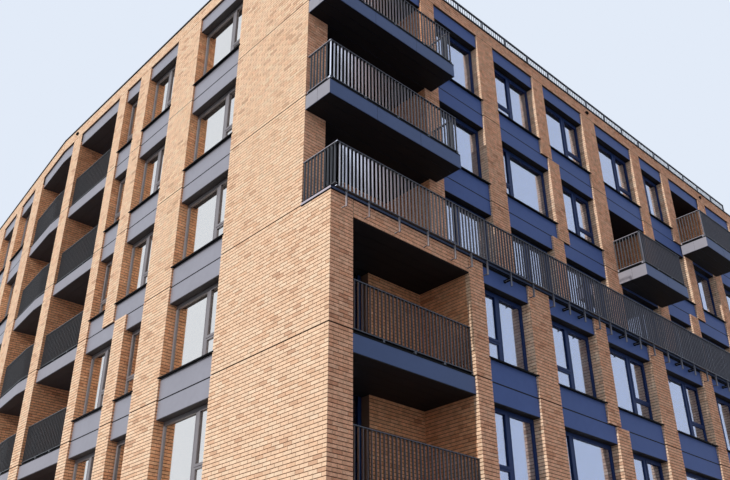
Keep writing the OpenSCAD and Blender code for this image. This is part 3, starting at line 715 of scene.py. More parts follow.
class BLOCK_OT_loggia_bricks(bpy.types.Operator):
    """Lays the side and back walls of the loggias"""

    bl_idname = "block.loggia_bricks"
    bl_label = "Loggia bricks"

    def execute(self, context):
        layer = Bricklayer(context.scene.block_bricks, "shade_brick")
        mitre = LOGGIA * math.tan(BEND / 2)
        hidden = 0.1  # height of the side walls' bricks above the boards
        for k in range(STOREYS):
            low, high = foot(k), ceiling_z(k) + hidden if is_top(k) else head(k)
            back = high - hidden
            face = right_face(k)
            for i, a, b in right_voids(k, True):
                layer.lay_sides(face, a, b, LOGGIA, low, high)
                layer.lay(face.front(a + DOOR, b, LOGGIA), low, back)
            a, b = left_loggia(k)
            layer.lay_sides(LEFT, a, b, LOGGIA, low, high)
            layer.lay(LEFT.front(a, b - DOOR, LOGGIA), low, back)
            layer.lay(LEFT.side(BEND_LOGGIA, True, 0, LOGGIA), low, high)
            layer.lay(BENT_LOGGIA.side(BENT_END, False, 0, LOGGIA), low, high)
            layer.lay(LEFT.front(BEND_LOGGIA, BEND_AT - mitre, LOGGIA), low, back)
            layer.lay(BENT_LOGGIA.front(mitre, BENT_END - DOOR, LOGGIA), low, back)
        layer.finish("loggia_bricks")
        return {"FINISHED"}


class BLOCK_OT_parapet_bricks(bpy.types.Operator):
    """Lays the band of bricks under the roof's edge"""

    bl_idname = "block.parapet_bricks"
    bl_label = "Parapet bricks"

    def execute(self, context):
        layer = Bricklayer(context.scene.block_bricks, "sunny_brick")
        proud, joint = layer.sizes.proud, layer.sizes.joint
        bands = [LEFT.front(SET_BACK - proud, BEND_AT), BENT_LOGGIA.front(joint, BENT_LENGTH)]
        for ends in bands + [face.front(0, length) for face, length in COURTS]:
            layer.lay(ends, PARAPET + joint, PARAPET_TOP)
        layer.finish("parapet_bricks")
        return {"FINISHED"}


class BLOCK_OT_court_bricks(bpy.types.Operator):
    """Lays the facing bricks of the courtyard faces"""

    bl_idname = "block.court_bricks"
    bl_label = "Courtyard bricks"

    def execute(self, context):
        layer = Bricklayer(context.scene.block_bricks, "sunny_brick")
        for k in range(STOREYS):
            for face, length in COURTS:
                run = court_run(length)
                layer.lay_piers(face, run, k)
                layer.lay_reveals(face, voids(run), k)
        layer.finish("court_facing_bricks")
        return {"FINISHED"}


# ---------------------------------------------------------------- joinery

BEAD_W, BEAD_OUT = 0.02, 0.004  # bead round a pane, and how far it stands out of the frame
SASH_W, SASH_LAP, SASH_OUT = 0.06, 0.025, 0.014  # sash, how far it laps over the frame, and how far it stands out
LEAF_W, LEAF_LAP, LEAF_OUT = 0.075, 0.03, 0.02  # the same for a leaf of a loggia door
HANDLE_UP = 1.0


def ring(width, height, band, depth):
    """A flat frame round an opening, standing out towards +Y."""
    piece = sheet((width / 2, 0, height / 2), width, height, (-math.pi / 2, 0, 0))
    pick(piece, lambda centre, normal: True)
    bpy.ops.mesh.inset(thickness=band, depth=0)
    bpy.ops.mesh.delete(type="FACE")
    bpy.ops.mesh.select_all(action="SELECT")
    bpy.ops.mesh.extrude_region_move(TRANSFORM_OT_translate={"value": (0, depth, 0)})
    bpy.ops.mesh.select_all(action="SELECT")
    bpy.ops.mesh.normals_make_consistent(inside=False)
    bpy.ops.object.mode_set(mode="OBJECT")
    return piece


class Joiner:
    """Makes one ring of each size and copies it to each opening."""

    def __init__(self):
        self.rings = {}
        self.made = []

    def fit(self, face, u, z, v, band, depth, lap=0.0):
        """A ring round the opening u[0] to u[1] and z[0] to z[1], at v behind the face."""
        u0, u1, z0, z1 = u[0] - lap, u[1] + lap, z[0] - lap, z[1] + lap
        key = (round(u1 - u0, 4), round(z1 - z0, 4), band, depth)
        if key not in self.rings:
            self.rings[key] = ring(u1 - u0, z1 - z0, band, depth)
        self.made.append(copy_to(self.rings[key], stand(face.front(u0, u1, v), z0)))

    def finish(self, name, coating):
        piece = join(self.made, name)
        discard(self.rings.values())
        return hand_over(piece, coated_metal(coating))


class BLOCK_OT_sashes(bpy.types.Operator):
    """Fits the beads round the panes and the sashes of the lights that open"""

    bl_idname = "block.sashes"
    bl_label = "Sashes and beads"

    def execute(self, context):
        pane = REVEAL + (FRAME_D - GLASS) / 2
        for name, coating, faces in (
            ("left_window_sashes", "sunny_window_coating", (LEFT, BENT)),
            ("right_window_sashes", "window_coating", (RIGHT_LOW, RIGHT_HIGH)),
            ("court_window_sashes", "window_coating", (COURT_A, COURT_B)),
        ):
            joiner = Joiner()
            for window in windows():
                if window.face not in faces:
                    continue
                for x0, x1, z0, z1, opens in panes(window):
                    u, z = (window.start + x0, window.start + x1), (z0, z1)
                    joiner.fit(window.face, u, z, pane, BEAD_W, pane - REVEAL + BEAD_OUT)
                    if opens:
                        joiner.fit(window.face, u, z, REVEAL, SASH_W, SASH_OUT, SASH_LAP)
            joiner.finish(name, coating)
        return {"FINISHED"}


class BLOCK_OT_door_sashes(bpy.types.Operator):
    """Fits the leaves of the loggia doors, with their handles"""

    bl_idname = "block.door_sashes"
    bl_label = "Loggia door leaves"

    def execute(self, context):
        joiner = Joiner()
        leaf = (DOOR - MULLION) / 2 - FRAME_W
        back = LOGGIA + REVEAL
        grip = self.handle()
        for k in range(STOREYS):
            z = (floor_z(k) + FRAME_W, ceiling_z(k) - HEAD_BOX)
            for bay in bays(k):
                if bay.door is None:
                    continue
                near, far = bay.door + FRAME_W, bay.door + (DOOR + MULLION) / 2
                for u in (near, far):
                    joiner.fit(bay.face, (u, u + leaf), z, back, LEAF_W, LEAF_OUT, LEAF_LAP)
                ends = bay.face.front(far - LEAF_LAP, far + leaf, back - LEAF_OUT)
                joiner.made.append(copy_to(grip, stand(ends, floor_z(k) + HANDLE_UP)))
        discard([grip])
        joiner.finish("loggia_door_leaves", "window_coating")
        return {"FINISHED"}

    def handle(self):
        plate = soften(block((0.02, 0, -0.08), (0.05, 0.008, 0.08)), 0.003)
        neck = block((0.028, 0.006, 0.03), (0.042, 0.05, 0.044))
        lever = soften(block((0.028, 0.038, 0.028), (0.15, 0.052, 0.046)), 0.004)
        return join([plate, neck, lever], "handle")


# ---------------------------------------------------------------- boards

def lay_boards(made, face, u0, u1, v0, v1, z, bent=False, thick=BOARD):
    """Boards that run along the face with their underside at z, even in width, cut to the bend."""
    count = max(1, round((v1 - v0) / bpy.context.scene.block_metal.board))
    step = (v1 - v0) / count
    seam = 0.006
    for i in range(count):
        v = v0 + i * step
        cut = (v + step) * math.tan(BEND / 2) if bent else 0.0
        a, b = (u0, u1 - cut) if face is LEFT else (u0 + cut, u1)
        made.append(set_on(block((0, -step + seam, 0), (b - a, 0, thick)), face.front(a, b, v), z))


class BLOCK_OT_soffit_boards(bpy.types.Operator):
    """Fits the black boards under the ceilings of the loggias"""

    bl_idname = "block.soffit_boards"
    bl_label = "Soffit boards"

    def execute(self, context):
        made = []
        for k in range(STOREYS):
            for bay in bays(k):
                z = bay.top - BOARD
                lay_boards(made, bay.face, bay.start, bay.end, WALL, LOGGIA, z, bay.bent)
                if bay.door is not None:
                    lay_boards(made, bay.face, bay.door, bay.door + DOOR, LOGGIA, LOGGIA + REVEAL, z)
        hand_over(join(made, "loggia_soffit_boards"), soffit_black(), ["loggia_soffits"])
        return {"FINISHED"}


class BLOCK_OT_head_boards(bpy.types.Operator):
    """Fits the black boards under the panels over windows and loggias, and under the corner lintel; their black is
    partly painted shade.
    """

    bl_idname = "block.head_boards"
    bl_label = "Head boards"

    def execute(self, context):
        made = []
        for window in windows():
            end = window.start + window.width
            z = panel_low(window.face, window.k) - BOARD
            lay_boards(made, window.face, window.start, end, HEAD_IN, REVEAL, z)
        for k in range(STOREYS):
            for bay in bays(k):
                lay_boards(made, bay.face, bay.start, bay.end, bay.inset, WALL, bay.top - BOARD, bay.bent)
        hand_over(join(made, "head_soffit_boards"), soffit_black())
        return {"FINISHED"}


class BLOCK_OT_balcony_boards(bpy.types.Operator):
    """Fits the thin black boards over the underside of the balconies; their black is partly painted shade."""

    bl_idname = "block.balcony_boards"
    bl_label = "Balcony boards"

    def execute(self, context):
        made = []
        rim, thick = 0.015, 0.005
        for k, a, b, reach in balconies():
            z = k * STOREY - EDGE - thick
            lay_boards(made, RIGHT_HIGH, a + rim, b - rim, rim - reach, 0, z, thick=thick)
        hand_over(join(made, "balcony_soffit_boards"), soffit_black())
        return {"FINISHED"}


# ---------------------------------------------------------------- small metalwork

SHEET = 0.003
FLASHING_DOWN = 0.03
KICK_IN, KICK_UP = 0.124, 0.12  # back of a kick strip behind the edge, and its height
KICK_SHORT = 0.02  # it stops this far from the walls
# Painted shadow: the dark strips go this far into the panels and stand this far proud of them.
SHADOW_STRIP_IN, SHADOW_STRIP_OUT = 0.002, 0.0015  # how far a gasket goes into the panels and stands proud of them


class BLOCK_OT_edge_trims(bpy.types.Operator):
    """Fits a folded flashing along the top edges of balconies and loggias, and a kick strip behind the railing"""

    bl_idname = "block.edge_trims"
    bl_label = "Edge trims"

    def execute(self, context):
        made = []
        for k, a, b, reach in balconies():
            self.trim(made, RIGHT_HIGH.front(a, b, -reach), k)
            self.trim(made, RIGHT_HIGH.side(a, False, -reach, 0), k)
            self.trim(made, RIGHT_HIGH.side(b, True, -reach, 0), k)
        for k in range(1, STOREYS):
            for bay in bays(k):
                if bay.face is not RIGHT_HIGH:
                    self.trim(made, bay.face.front(bay.start, bay.end, PANEL_IN), k)
        hand_over(join(made, "edge_trims"), coated_metal("trim_coating"))
        return {"FINISHED"}

    def trim(self, made, ends, k):
        """An angle of thin sheet, over the edge and down it, and another that stands behind the railing."""
        length = (ends[1] - ends[0]).length
        flashing = block((0, -0.02, 0), (length, 0.005, 0.004))
        fold(flashing, downward, 0.001, True, (0, 0, -FLASHING_DOWN))
        kick = block((KICK_SHORT, -KICK_IN, 0), (length - KICK_SHORT, 0.012 - KICK_IN, SHEET))
        fold(kick, upward, SHEET - KICK_IN, False, (0, 0, KICK_UP))
        made += [set_on(flashing, ends, k * STOREY), set_on(kick, ends, k * STOREY)]


class BLOCK_OT_seams_and_shadow_strips(bpy.types.Operator):
    """Fits dark strips over the joints of the panels, wider than the joints, and under the terrace coping, both
    painted shadow, and at the seams of the balconies.
    """

    bl_idname = "block.gaskets"
    bl_label = "Seams_and_shadow_strips"

    def execute(self, context):
        made = []
        # Painted shadow: the strips lap past the panel joints, and a strip of the under_terrace height lies under the
        # terrace coping.
        lap, under_terrace = 0.005, 0.065
        for window in windows():
            ends = window.face.front(window.start, window.start + window.width, PANEL_IN)
            if window.k > 0 and not (window.face is RIGHT_HIGH and window.k == LOWER):
                self.strip(made, ends, window.k * STOREY - lap, GAP + 2 * lap)
            if window.face is RIGHT_LOW and window.k == LOWER - 1:
                self.strip(made, ends, TERRACE - under_terrace, under_terrace)
        seam, longest = 0.002, 1.5
        for k, a, b, reach in balconies():
            z, height = k * STOREY - EDGE, EDGE - FLASHING_DOWN
            count = math.ceil((b - a) / longest)
            for i in range(1, count):
                u = a + (b - a) * i / count
                self.strip(made, RIGHT_HIGH.front(u - seam, u + seam, -reach), z, height)
            for u, up in ((a, False), (b, True)):
                self.strip(made, RIGHT_HIGH.side(u, up, -reach / 2 - seam, -reach / 2 + seam), z, height)
        hand_over(join(made, "panel_seams_and_shadow_strips"), seam_and_shadow_rubber())
        return {"FINISHED"}

    def strip(self, made, ends, z, height):
        length = (ends[1] - ends[0]).length
        made.append(set_on(block((0, -SHADOW_STRIP_IN, 0), (length, SHADOW_STRIP_OUT, height)), ends, z))


class BLOCK_OT_drips_and_shadows(bpy.types.Operator):
    """Fits the drip flange under the terrace coping and the upstand on it, their black partly painted shadow under
    and over the coping
    """

    bl_idname = "block.drips"
    bl_label = "Coping drips"

    def execute(self, context):
        made = []
        out = context.scene.block_bricks.proud + 0.002
        turned = 2 * SHEET
        for ends in (RIGHT_LOW.front(-out, RIGHT_LENGTH, -out), LEFT.front(-out, SET_BACK, -out)):
            length = (ends[1] - ends[0]).length
            flange = block((0, -SHEET, -0.028), (length, 0, 0))
            pull(flange, downward, (0, turned, -turned))
            upstand = block((0, -turned, 0.05), (length, -SHEET, 0.09))
            pull(upstand, upward, (0, -turned, turned))
            made += [set_on(flange, ends, TERRACE), set_on(upstand, ends, TERRACE)]
        hand_over(join(made, "terrace_drips_and_shadows"), coated_metal("trim_coating"))
        return {"FINISHED"}


class BLOCK_OT_post_fixings(bpy.types.Operator):
    """Fits a foot plate with a web and two bolts where the arm of a terrace post meets a panel"""

    bl_idname = "block.post_fixings"
    bl_label = "Post fixings"

    def execute(self, context):
        plate = soften(block((-0.04, 0, -0.03), (0.04, 0.006, 0.05)), 0.002)
        web = block((-0.004, 0.006, -0.035), (0.004, 0.18, 0.055))
        fixing = join([plate, self.bolt(-0.026), self.bolt(0.026), web], "fixing")
        arm = TERRACE - (HANGER_DROP + RAIL_DROP) / 2
        made = []
        for x in panel_posts():
            place = stand(RIGHT_LOW.front(x, x + 1, PANEL_IN), arm)
            made.append(copy_to(fixing, place @ Matrix.Translation((1, 0, 0))))
        discard([fixing])
        hand_over(join(made, "terrace_post_fixings"), coated_metal("trim_coating"))
        return {"FINISHED"}

    def bolt(self, x):
        deselect()
        bpy.ops.mesh.primitive_cylinder_add(vertices=6, radius=0.008, depth=0.006, location=(x, 0.009, 0.01),
                                            rotation=(math.pi / 2, 0, 0))
        return settle()


# ---------------------------------------------------------------- shader nodes

def wire(tree, target, value):
    """Feeds an input from a socket, or sets a constant on it."""
    if isinstance(value, bpy.types.NodeSocket):
        tree.links.new(value, target)
    elif target.type == "RGBA":
        target.default_value = (*value[:3], 1.0)
    else:
        target.default_value = value


def add(tree, kind, place=(0, 0), **values):
    """A node with its settings, and its inputs fed or set."""
    made = tree.nodes.new(kind)
    made.location = place
    for key, value in values.items():
        if hasattr(made, key):
            setattr(made, key, value)
        else:
            wire(tree, made.inputs[key.replace("_", " ")], value)
    return made


def maths(tree, operation, place, *values):
    """Result of a Math node on sockets and numbers."""
    made = add(tree, "ShaderNodeMath", place, operation=operation)
    for target, value in zip(made.inputs, values):
        wire(tree, target, value)
    return made.outputs[0]


def choose(tree, mask, low, high, place):
    """One colour where the mask is 0 and another where it is 1; each is a colour or a socket."""
    made = add(tree, "ShaderNodeMix", place, data_type="RGBA")
    for i, value in ((0, mask), (6, low), (7, high)):
        wire(tree, made.inputs[i], value)
    return made.outputs[2]


def on_part(tree, place):
    """Place on the part, as a vector."""
    return add(tree, "ShaderNodeTexCoord", place).outputs["Object"]


def axes(tree, vector, place):
    """The X, Y and Z of a vector."""
    return add(tree, "ShaderNodeSeparateXYZ", place, Vector=vector).outputs


def normal_axes(tree, place):
    """The X, Y and Z of the surface's normal."""
    return axes(tree, add(tree, "ShaderNodeNewGeometry", place).outputs["Normal"], (place[0] + 200, place[1]))


def across(tree, place):
    """1 on the faces that look along X, which stand across the right street face, and 0 on the others; finishes use
    it to paint sunlight and sheen on those faces.
    """
    x, y = place
    size = maths(tree, "ABSOLUTE", (x + 400, y), normal_axes(tree, place)["X"])
    return maths(tree, "GREATER_THAN", (x + 600, y), size, 0.5)


def group(name, inputs, output, kind):
    """A shader node group with named inputs and one output, built once."""
    tree = bpy.data.node_groups.new(name, "ShaderNodeTree")
    for label, value in inputs.items():
        kind_in = "NodeSocketFloat" if isinstance(value, float) else "NodeSocketColor"
        socket = tree.interface.new_socket(name=label, in_out="INPUT", socket_type=kind_in)
        socket.default_value = value
    tree.interface.new_socket(name=output, in_out="OUTPUT", socket_type=kind)
    start = add(tree, "NodeGroupInput", (-900, 0)).outputs
    return tree, start, add(tree, "NodeGroupOutput", (700, 0)).inputs[output]


def mottle_group():
    """Colour that varies gently over a surface, at a coarse and a fine scale."""
    if "mottle" in bpy.data.node_groups:
        return bpy.data.node_groups["mottle"]
    inputs = {"Color": (0.5, 0.5, 0.5, 1), "Variation": 0.1, "Coarse": 0.6, "Fine": 30.0}
    tree, start, end = group("mottle", inputs, "Color", "NodeSocketColor")
    spot = on_part(tree, (-900, -300))
    coarse, fine = (
        add(tree, "ShaderNodeTexNoise", (-650, y), Detail=3.0, Vector=spot, Scale=start[label]).outputs["Fac"]
        for label, y in (("Coarse", 0), ("Fine", -250)))
    both = maths(tree, "ADD", (-400, -100), coarse, fine)
    middle = maths(tree, "SUBTRACT", (-200, -100), both, 1.0)
    scaled = maths(tree, "MULTIPLY", (0, -100), middle, start["Variation"])
    gain = maths(tree, "MULTIPLY_ADD", (150, -100), scaled, 3.0, 1.0)
    shade = add(tree, "ShaderNodeVectorMath", (400, 0), operation="SCALE", Vector=start["Color"], Scale=gain)
    tree.links.new(shade.outputs[0], end)
    return tree


def streaks_group():
    """Faint marks that rain leaves down a surface."""
    if "rain_streaks" in bpy.data.node_groups:
        return bpy.data.node_groups["rain_streaks"]
    inputs = {"Color": (0.5, 0.5, 0.5, 1), "Mark": (0.4, 0.38, 0.35, 1), "Amount": 0.2}
    tree, start, end = group("rain_streaks", inputs, "Color", "NodeSocketColor")
    stretch = add(tree, "ShaderNodeMapping", (-700, -300), Vector=on_part(tree, (-900, -300)), Scale=(5.0, 5.0, 0.35))
    noise = add(tree, "ShaderNodeTexNoise", (-500, -300), Scale=1.0, Detail=4.0, Vector=stretch.outputs[0])
    span = add(tree, "ShaderNodeMapRange", (-250, -300), From_Min=0.45, From_Max=0.75, Value=noise.outputs["Fac"])
    share = maths(tree, "MULTIPLY", (0, -300), span.outputs[0], start["Amount"])
    tree.links.new(choose(tree, share, start["Color"], start["Mark"], (300, 0)), end)
    return tree


def grain_group():
    """Height of a fine grain, for a Bump node."""
    if "fine_grain" in bpy.data.node_groups:
        return bpy.data.node_groups["fine_grain"]
    tree, start, end = group("fine_grain", {"Scale": 60.0, "Depth": 0.5}, "Height", "NodeSocketFloat")
    noise = add(tree, "ShaderNodeTexNoise", (-500, 0), Detail=5.0, Roughness=0.65, Scale=start["Scale"],
                Vector=on_part(tree, (-900, -200)))
    tree.links.new(maths(tree, "MULTIPLY", (0, 0), noise.outputs["Fac"], start["Depth"]), end)
    return tree


def material(name, roughness, metallic=0.0, gloss=0.5):
    made = bpy.data.materials.new(name)
    made.use_nodes = True
    shader = made.node_tree.nodes["Principled BSDF"]
    shader.inputs["Roughness"].default_value = roughness
    shader.inputs["Metallic"].default_value = metallic
    shader.inputs["Specular IOR Level"].default_value = gloss
    return made, made.node_tree, shader


def mottled(tree, tint, variation, coarse, fine):
    """A colour, or what a socket gives, varied gently over the surface."""
    made = add(tree, "ShaderNodeGroup", (-550, 0), node_tree=mottle_group(), Color=tint, Variation=variation,
               Coarse=coarse, Fine=fine)
    return made.outputs["Color"]


def surface(tree, shader, tint, grain=None):
    """Gives the shader its colour and, for a scale, depth and distance, a fine grain in its normal."""
    tree.links.new(tint, shader.inputs["Base Color"])
    if grain is not None:
        scale, depth, distance = grain
        height = add(tree, "ShaderNodeGroup", (-500, -500), node_tree=grain_group(), Scale=scale, Depth=depth)
        lift = add(tree, "ShaderNodeBump", (-250, -500), Distance=distance, Height=height.outputs["Height"])
        tree.links.new(lift.outputs["Normal"], shader.inputs["Normal"])


# ---------------------------------------------------------------- finishes

FIRED_CLAY = (0.14, 5.0, 45.0)  # variation, coarse and fine scale
SHADED_CLAY = (0.3, 8.0, 45.0)
CEMENT = (0.2, 2.0, 60.0)
POWDER_COAT = (0.05, 0.8, 6.0)
CONCRETE = (0.52, 0.50, 0.47)
CLAY_GRAIN = (90.0, 1.0, 0.003)  # scale, depth and distance
CEMENT_GRAIN = (200.0, 1.0, 0.002)
POWDER_GRAIN = (400.0, 0.3, 0.0006)
# Painted sunlight: right-face and loggia bricks that look along X and lie less deep than this keep the unshaded
# colours.
SUN_REACH = {"street_brick": SET_BACK + REVEAL, "shade_brick": 0.13}  # depth to which the sun reaches
BALCONY_BARS = (0.104, 1.158)  # bottom and top of the bars, above the floor
TERRACE_BARS = (0.0, 1.098)
SHEEN_METALLIC = 0.93  # metallic share of the bars' flanks
# Painted reflection: the flanks' brightness fades from the corner along the right face, standing in for what each bar
# mirrors.
PAINTED_SHEEN_FADE = {"From_Min": 1.0, "From_Max": 5.5, "To_Min": 1.0, "To_Max": 0.08}  # along the right face
# Painted shade: the flanks in the loggias keep only this share of their brightness.
LOGGIA_SHEEN_SHADE = 0.45  # brightness of the flanks in the loggias


def brick_ramp(tree, tone, place, keep=(1, 1, 1)):
    """Colours of the bricks by their tone, with a share of each channel kept, which paints shade on the shaded
    copies.
    """
    sizes = bpy.context.scene.block_bricks
    ramp = add(tree, "ShaderNodeValToRGB", place, Fac=tone)
    stops = [(0.0, sizes.buff), (0.35, sizes.peach), (0.7, sizes.peach), (0.93, sizes.salmon), (1.0, sizes.brown)]
    for i, (position, value) in enumerate(stops):
        stop = ramp.color_ramp.elements[i] if i < 2 else ramp.color_ramp.elements.new(position)
        stop.position = position
        stop.color = (*(v * share for v, share in zip(value, keep)), 1.0)
    return ramp.outputs["Color"]


def facing_brick(name):
    """Fired clay: a tone of its own for each brick, with a sandy face; the street and shade copies are darker as
    painted shade, and painted sunlight gives some of their faces the unshaded colours.
    """
    if name in bpy.data.materials:
        return bpy.data.materials[name]
    made, tree, shader = material(name, 0.88)
    tone = add(tree, "ShaderNodeAttribute", (-1100, 0), attribute_name="tone").outputs["Fac"]
    if name == "sunny_brick":
        tint = mottled(tree, brick_ramp(tree, tone, (-900, 0)), *FIRED_CLAY)
    else:
        sizes = bpy.context.scene.block_bricks
        keep = {"street_brick": sizes.street, "shade_brick": sizes.shade}[name]
        # Painted sunlight on the faces that look along X near the front, painted shade on the rest.
        y = axes(tree, on_part(tree, (-2200, -700)), (-2000, -700))["Y"]
        front = maths(tree, "LESS_THAN", (-1600, -700), y, SUN_REACH[name])
        sunny = maths(tree, "MULTIPLY", (-1300, -500), across(tree, (-2200, -400)), front)
        shaded_tint = brick_ramp(tree, tone, (-900, 0), keep)
        sunny_tint = brick_ramp(tree, tone, (-1100, -300))
        tint = mottled(tree, choose(tree, sunny, shaded_tint, sunny_tint, (-700, -200)), *SHADED_CLAY)
    surface(tree, shader, tint, CLAY_GRAIN)
    return made


def mortar_bed():
    made, tree, shader = material("mortar_bed", 0.95)
    sizes = bpy.context.scene.block_bricks
    # Painted light and shade: the faces that look along X take the lighter, sunlit mortar.
    tint = choose(tree, across(tree, (-1500, 0)), sizes.mortar, sizes.painted_sun_mortar, (-750, 0))
    surface(tree, shader, mottled(tree, tint, *CEMENT), CEMENT_GRAIN)
    return made


def party_brickwork():
    """Plain brickwork of the end walls, its bond drawn in colour and height."""
    sizes = bpy.context.scene.block_bricks
    made, tree, shader = material("party_brickwork", 0.9)
    spot = axes(tree, on_part(tree, (-1500, 0)), (-1300, 0))
    along = maths(tree, "ADD", (-1150, 100), spot["X"], spot["Y"])
    flat = add(tree, "ShaderNodeCombineXYZ", (-1000, 0), X=along, Y=spot["Z"])
    bond = add(tree, "ShaderNodeTexBrick", (-800, 0), Vector=flat.outputs[0], Scale=1.0, Brick_Width=sizes.pitch,
               Row_Height=sizes.course, Mortar_Size=sizes.joint / 2, Mortar_Smooth=0.1, Color1=sizes.buff,
               Color2=sizes.salmon, Mortar=sizes.mortar)
    lift = add(tree, "ShaderNodeBump", (-250, -500), invert=True, Distance=sizes.proud, Height=bond.outputs["Fac"])
    surface(tree, shader, mottled(tree, bond.outputs["Color"], *FIRED_CLAY))
    tree.links.new(lift.outputs["Normal"], shader.inputs["Normal"])
    return made


def coated_metal(name):
    """Powder coated metal: colour, roughness and sheen by where it is used; the left and right copies of the cladding
    and of the frames paint sunlight and shade into their colours.
    """
    if name in bpy.data.materials:
        return bpy.data.materials[name]
    metal = bpy.context.scene.block_metal
    tint, rough, metallic, gloss = {
        "left_cladding": (metal.sunny, 0.38, 0.25, 0.5),
        "right_cladding": (metal.street, 0.5, 0.0, 0.15),
        "sunny_window_coating": (metal.sunny_window, 0.4, 0.1, 0.3),
        "window_coating": (metal.window, 0.5, 0.0, 0.2),
        "trim_coating": (metal.trim, 0.6, 0.0, 0.06),
        "coping_coating": (metal.coping, 0.5, 0.0, 0.12),
    }[name]
    made, tree, shader = material(name, rough, metallic, gloss)
    streaks = add(tree, "ShaderNodeGroup", (-350, 0), node_tree=streaks_group(), Amount=0.06,
                  Color=mottled(tree, tint, *POWDER_COAT), Mark=[v * 0.8 + 0.01 for v in tint])
    surface(tree, shader, streaks.outputs["Color"], POWDER_GRAIN)
    return made


def coat(tree, shader, tint):
    """Powder coat in a colour that a socket gives."""
    surface(tree, shader, mottled(tree, tint, *POWDER_COAT), POWDER_GRAIN)


def sun_and_shade_coating(name, front, side):
    """Coated metal in two copies, painted light and shade: the shaded colour on most faces and the sunlit one on the
    faces across the right street face.
    """
    made, tree, shader = material(name, 0.45, 0.1, 0.3)
    tint = choose(tree, across(tree, (-1600, 0)), front, side, (-800, 0))
    coat(tree, shader, tint)
    return made


def end_rail_coating(name, low, high):
    """Dark bars from low to high above each floor, between rails whose faces that look along X take the pale sunlit
    colour as painted sunlight.
    """
    metal = bpy.context.scene.block_metal
    made, tree, shader = material(name, 0.4, 0.1, 0.3)
    z = axes(tree, on_part(tree, (-2600, -300)), (-2400, -300))["Z"]
    above = maths(tree, "FLOORED_MODULO", (-2200, -300), z, STOREY)
    over = maths(tree, "GREATER_THAN", (-1900, -200), above, low)
    under = maths(tree, "LESS_THAN", (-1900, -400), above, high)
    bars = maths(tree, "MULTIPLY", (-1600, -300), over, under)
    # Painted sunlight on the rails' faces that look along X.
    rails = choose(tree, across(tree, (-2200, 0)), metal.end_railing, metal.sunny, (-1200, 0))
    tint = choose(tree, bars, rails, metal.end_railing, (-900, 0))
    coat(tree, shader, tint)
    return made


def rail_coating(name, share=1.0):
    """Railings: bright metal flanks on the bars of the right face, their fade along it painted reflection, dark
    undersides as painted shade, and one coat on the left face.
    """
    metal = bpy.context.scene.block_metal
    right_depth = 8.0
    made, tree, shader = material(name, 0.35, gloss=0.3)
    # Painted shade: the undersides take the dark coping colour.
    under = maths(tree, "LESS_THAN", (-1400, -200), normal_axes(tree, (-2000, -200))["Z"], -0.5)
    spot = axes(tree, on_part(tree, (-2000, -400)), (-1800, -400))
    near = maths(tree, "LESS_THAN", (-1400, -400), spot["Y"], right_depth)
    # Painted reflection: the flanks darken with distance from the corner.
    fade = add(tree, "ShaderNodeMapRange", (-1400, -600), Value=spot["X"], **PAINTED_SHEEN_FADE)
    right = maths(tree, "MULTIPLY", (-1200, -400), near, fade.outputs["Result"])
    painted_sheen = maths(tree, "MULTIPLY", (-1200, -100), across(tree, (-2000, 0)), right)
    tint = choose(tree, painted_sheen, metal.railing, [v * share for v in metal.flank_sheen], (-1050, 100))
    tint = choose(tree, near, metal.sunny_railing, tint, (-890, 100))
    tint = choose(tree, under, tint, metal.coping, (-730, 100))
    coat(tree, shader, tint)
    tree.links.new(maths(tree, "MULTIPLY", (-400, -300), painted_sheen, SHEEN_METALLIC), shader.inputs["Metallic"])
    return made


def soffit_black():
    if "soffit_black" in bpy.data.materials:
        return bpy.data.materials["soffit_black"]
    metal = bpy.context.scene.block_metal
    right_depth = 4.0
    made, tree, shader = material("soffit_black", 0.6, gloss=0.15)
    y = axes(tree, on_part(tree, (-1300, 0)), (-1100, 0))["Y"]
    # Painted light: the boards of the left face take the lighter copy.
    left = maths(tree, "GREATER_THAN", (-900, 0), y, right_depth)
    tint = choose(tree, left, metal.soffit, metal.sunny_soffit, (-750, 0))
    surface(tree, shader, mottled(tree, tint, 0.15, 1.5, 20.0), (150.0, 0.5, 0.001))
    return made


def coated_glass(name, tint, mirror):
    """Solar glass: part mirror, part clear, with a slight ripple."""
    made, tree, shader = material(name, 0.02, mirror)
    wire(tree, shader.inputs["Base Color"], tint)
    shader.inputs["Transmission Weight"].default_value = 1.0
    shader.inputs["IOR"].default_value = 1.45
    ripple = add(tree, "ShaderNodeTexNoise", (-700, -300), Scale=0.9, Detail=1.0, Vector=on_part(tree, (-900, -300)))
    lift = add(tree, "ShaderNodeBump", (-300, -300), Distance=0.002, Strength=0.4, Height=ripple.outputs["Fac"])
    tree.links.new(lift.outputs["Normal"], shader.inputs["Normal"])
    return made


def slab_finish():
    """Cast concrete, with gravel on the roof."""
    made, tree, shader = material("slab_finish", 0.9)
    spot = on_part(tree, (-1300, 0))
    roof = maths(tree, "GREATER_THAN", (-900, 0), axes(tree, spot, (-1100, 0))["Z"], ROOF - 0.01)
    stones = add(tree, "ShaderNodeTexVoronoi", (-1100, -250), Scale=28.0, Vector=spot)
    gravel = add(tree, "ShaderNodeMapRange", (-920, -250), Value=stones.outputs["Distance"], To_Min=0.25, To_Max=0.5)
    tint = choose(tree, roof, CONCRETE, gravel.outputs[0], (-730, 0))
    surface(tree, shader, mottled(tree, tint, 0.12, 0.5, 12.0), (50.0, 1.0, 0.003))
    return made


# Dark strips: painted shadow over the panel joints and under the terrace coping, and dark seams on the balconies.
def seam_and_shadow_rubber():
    made, tree, shader = material("seam_and_shadow_rubber", 0.8, gloss=0.2)
    surface(tree, shader, mottled(tree, bpy.context.scene.block_metal.seam_and_shadow, 0.1, 2.0, 60.0))
    return made


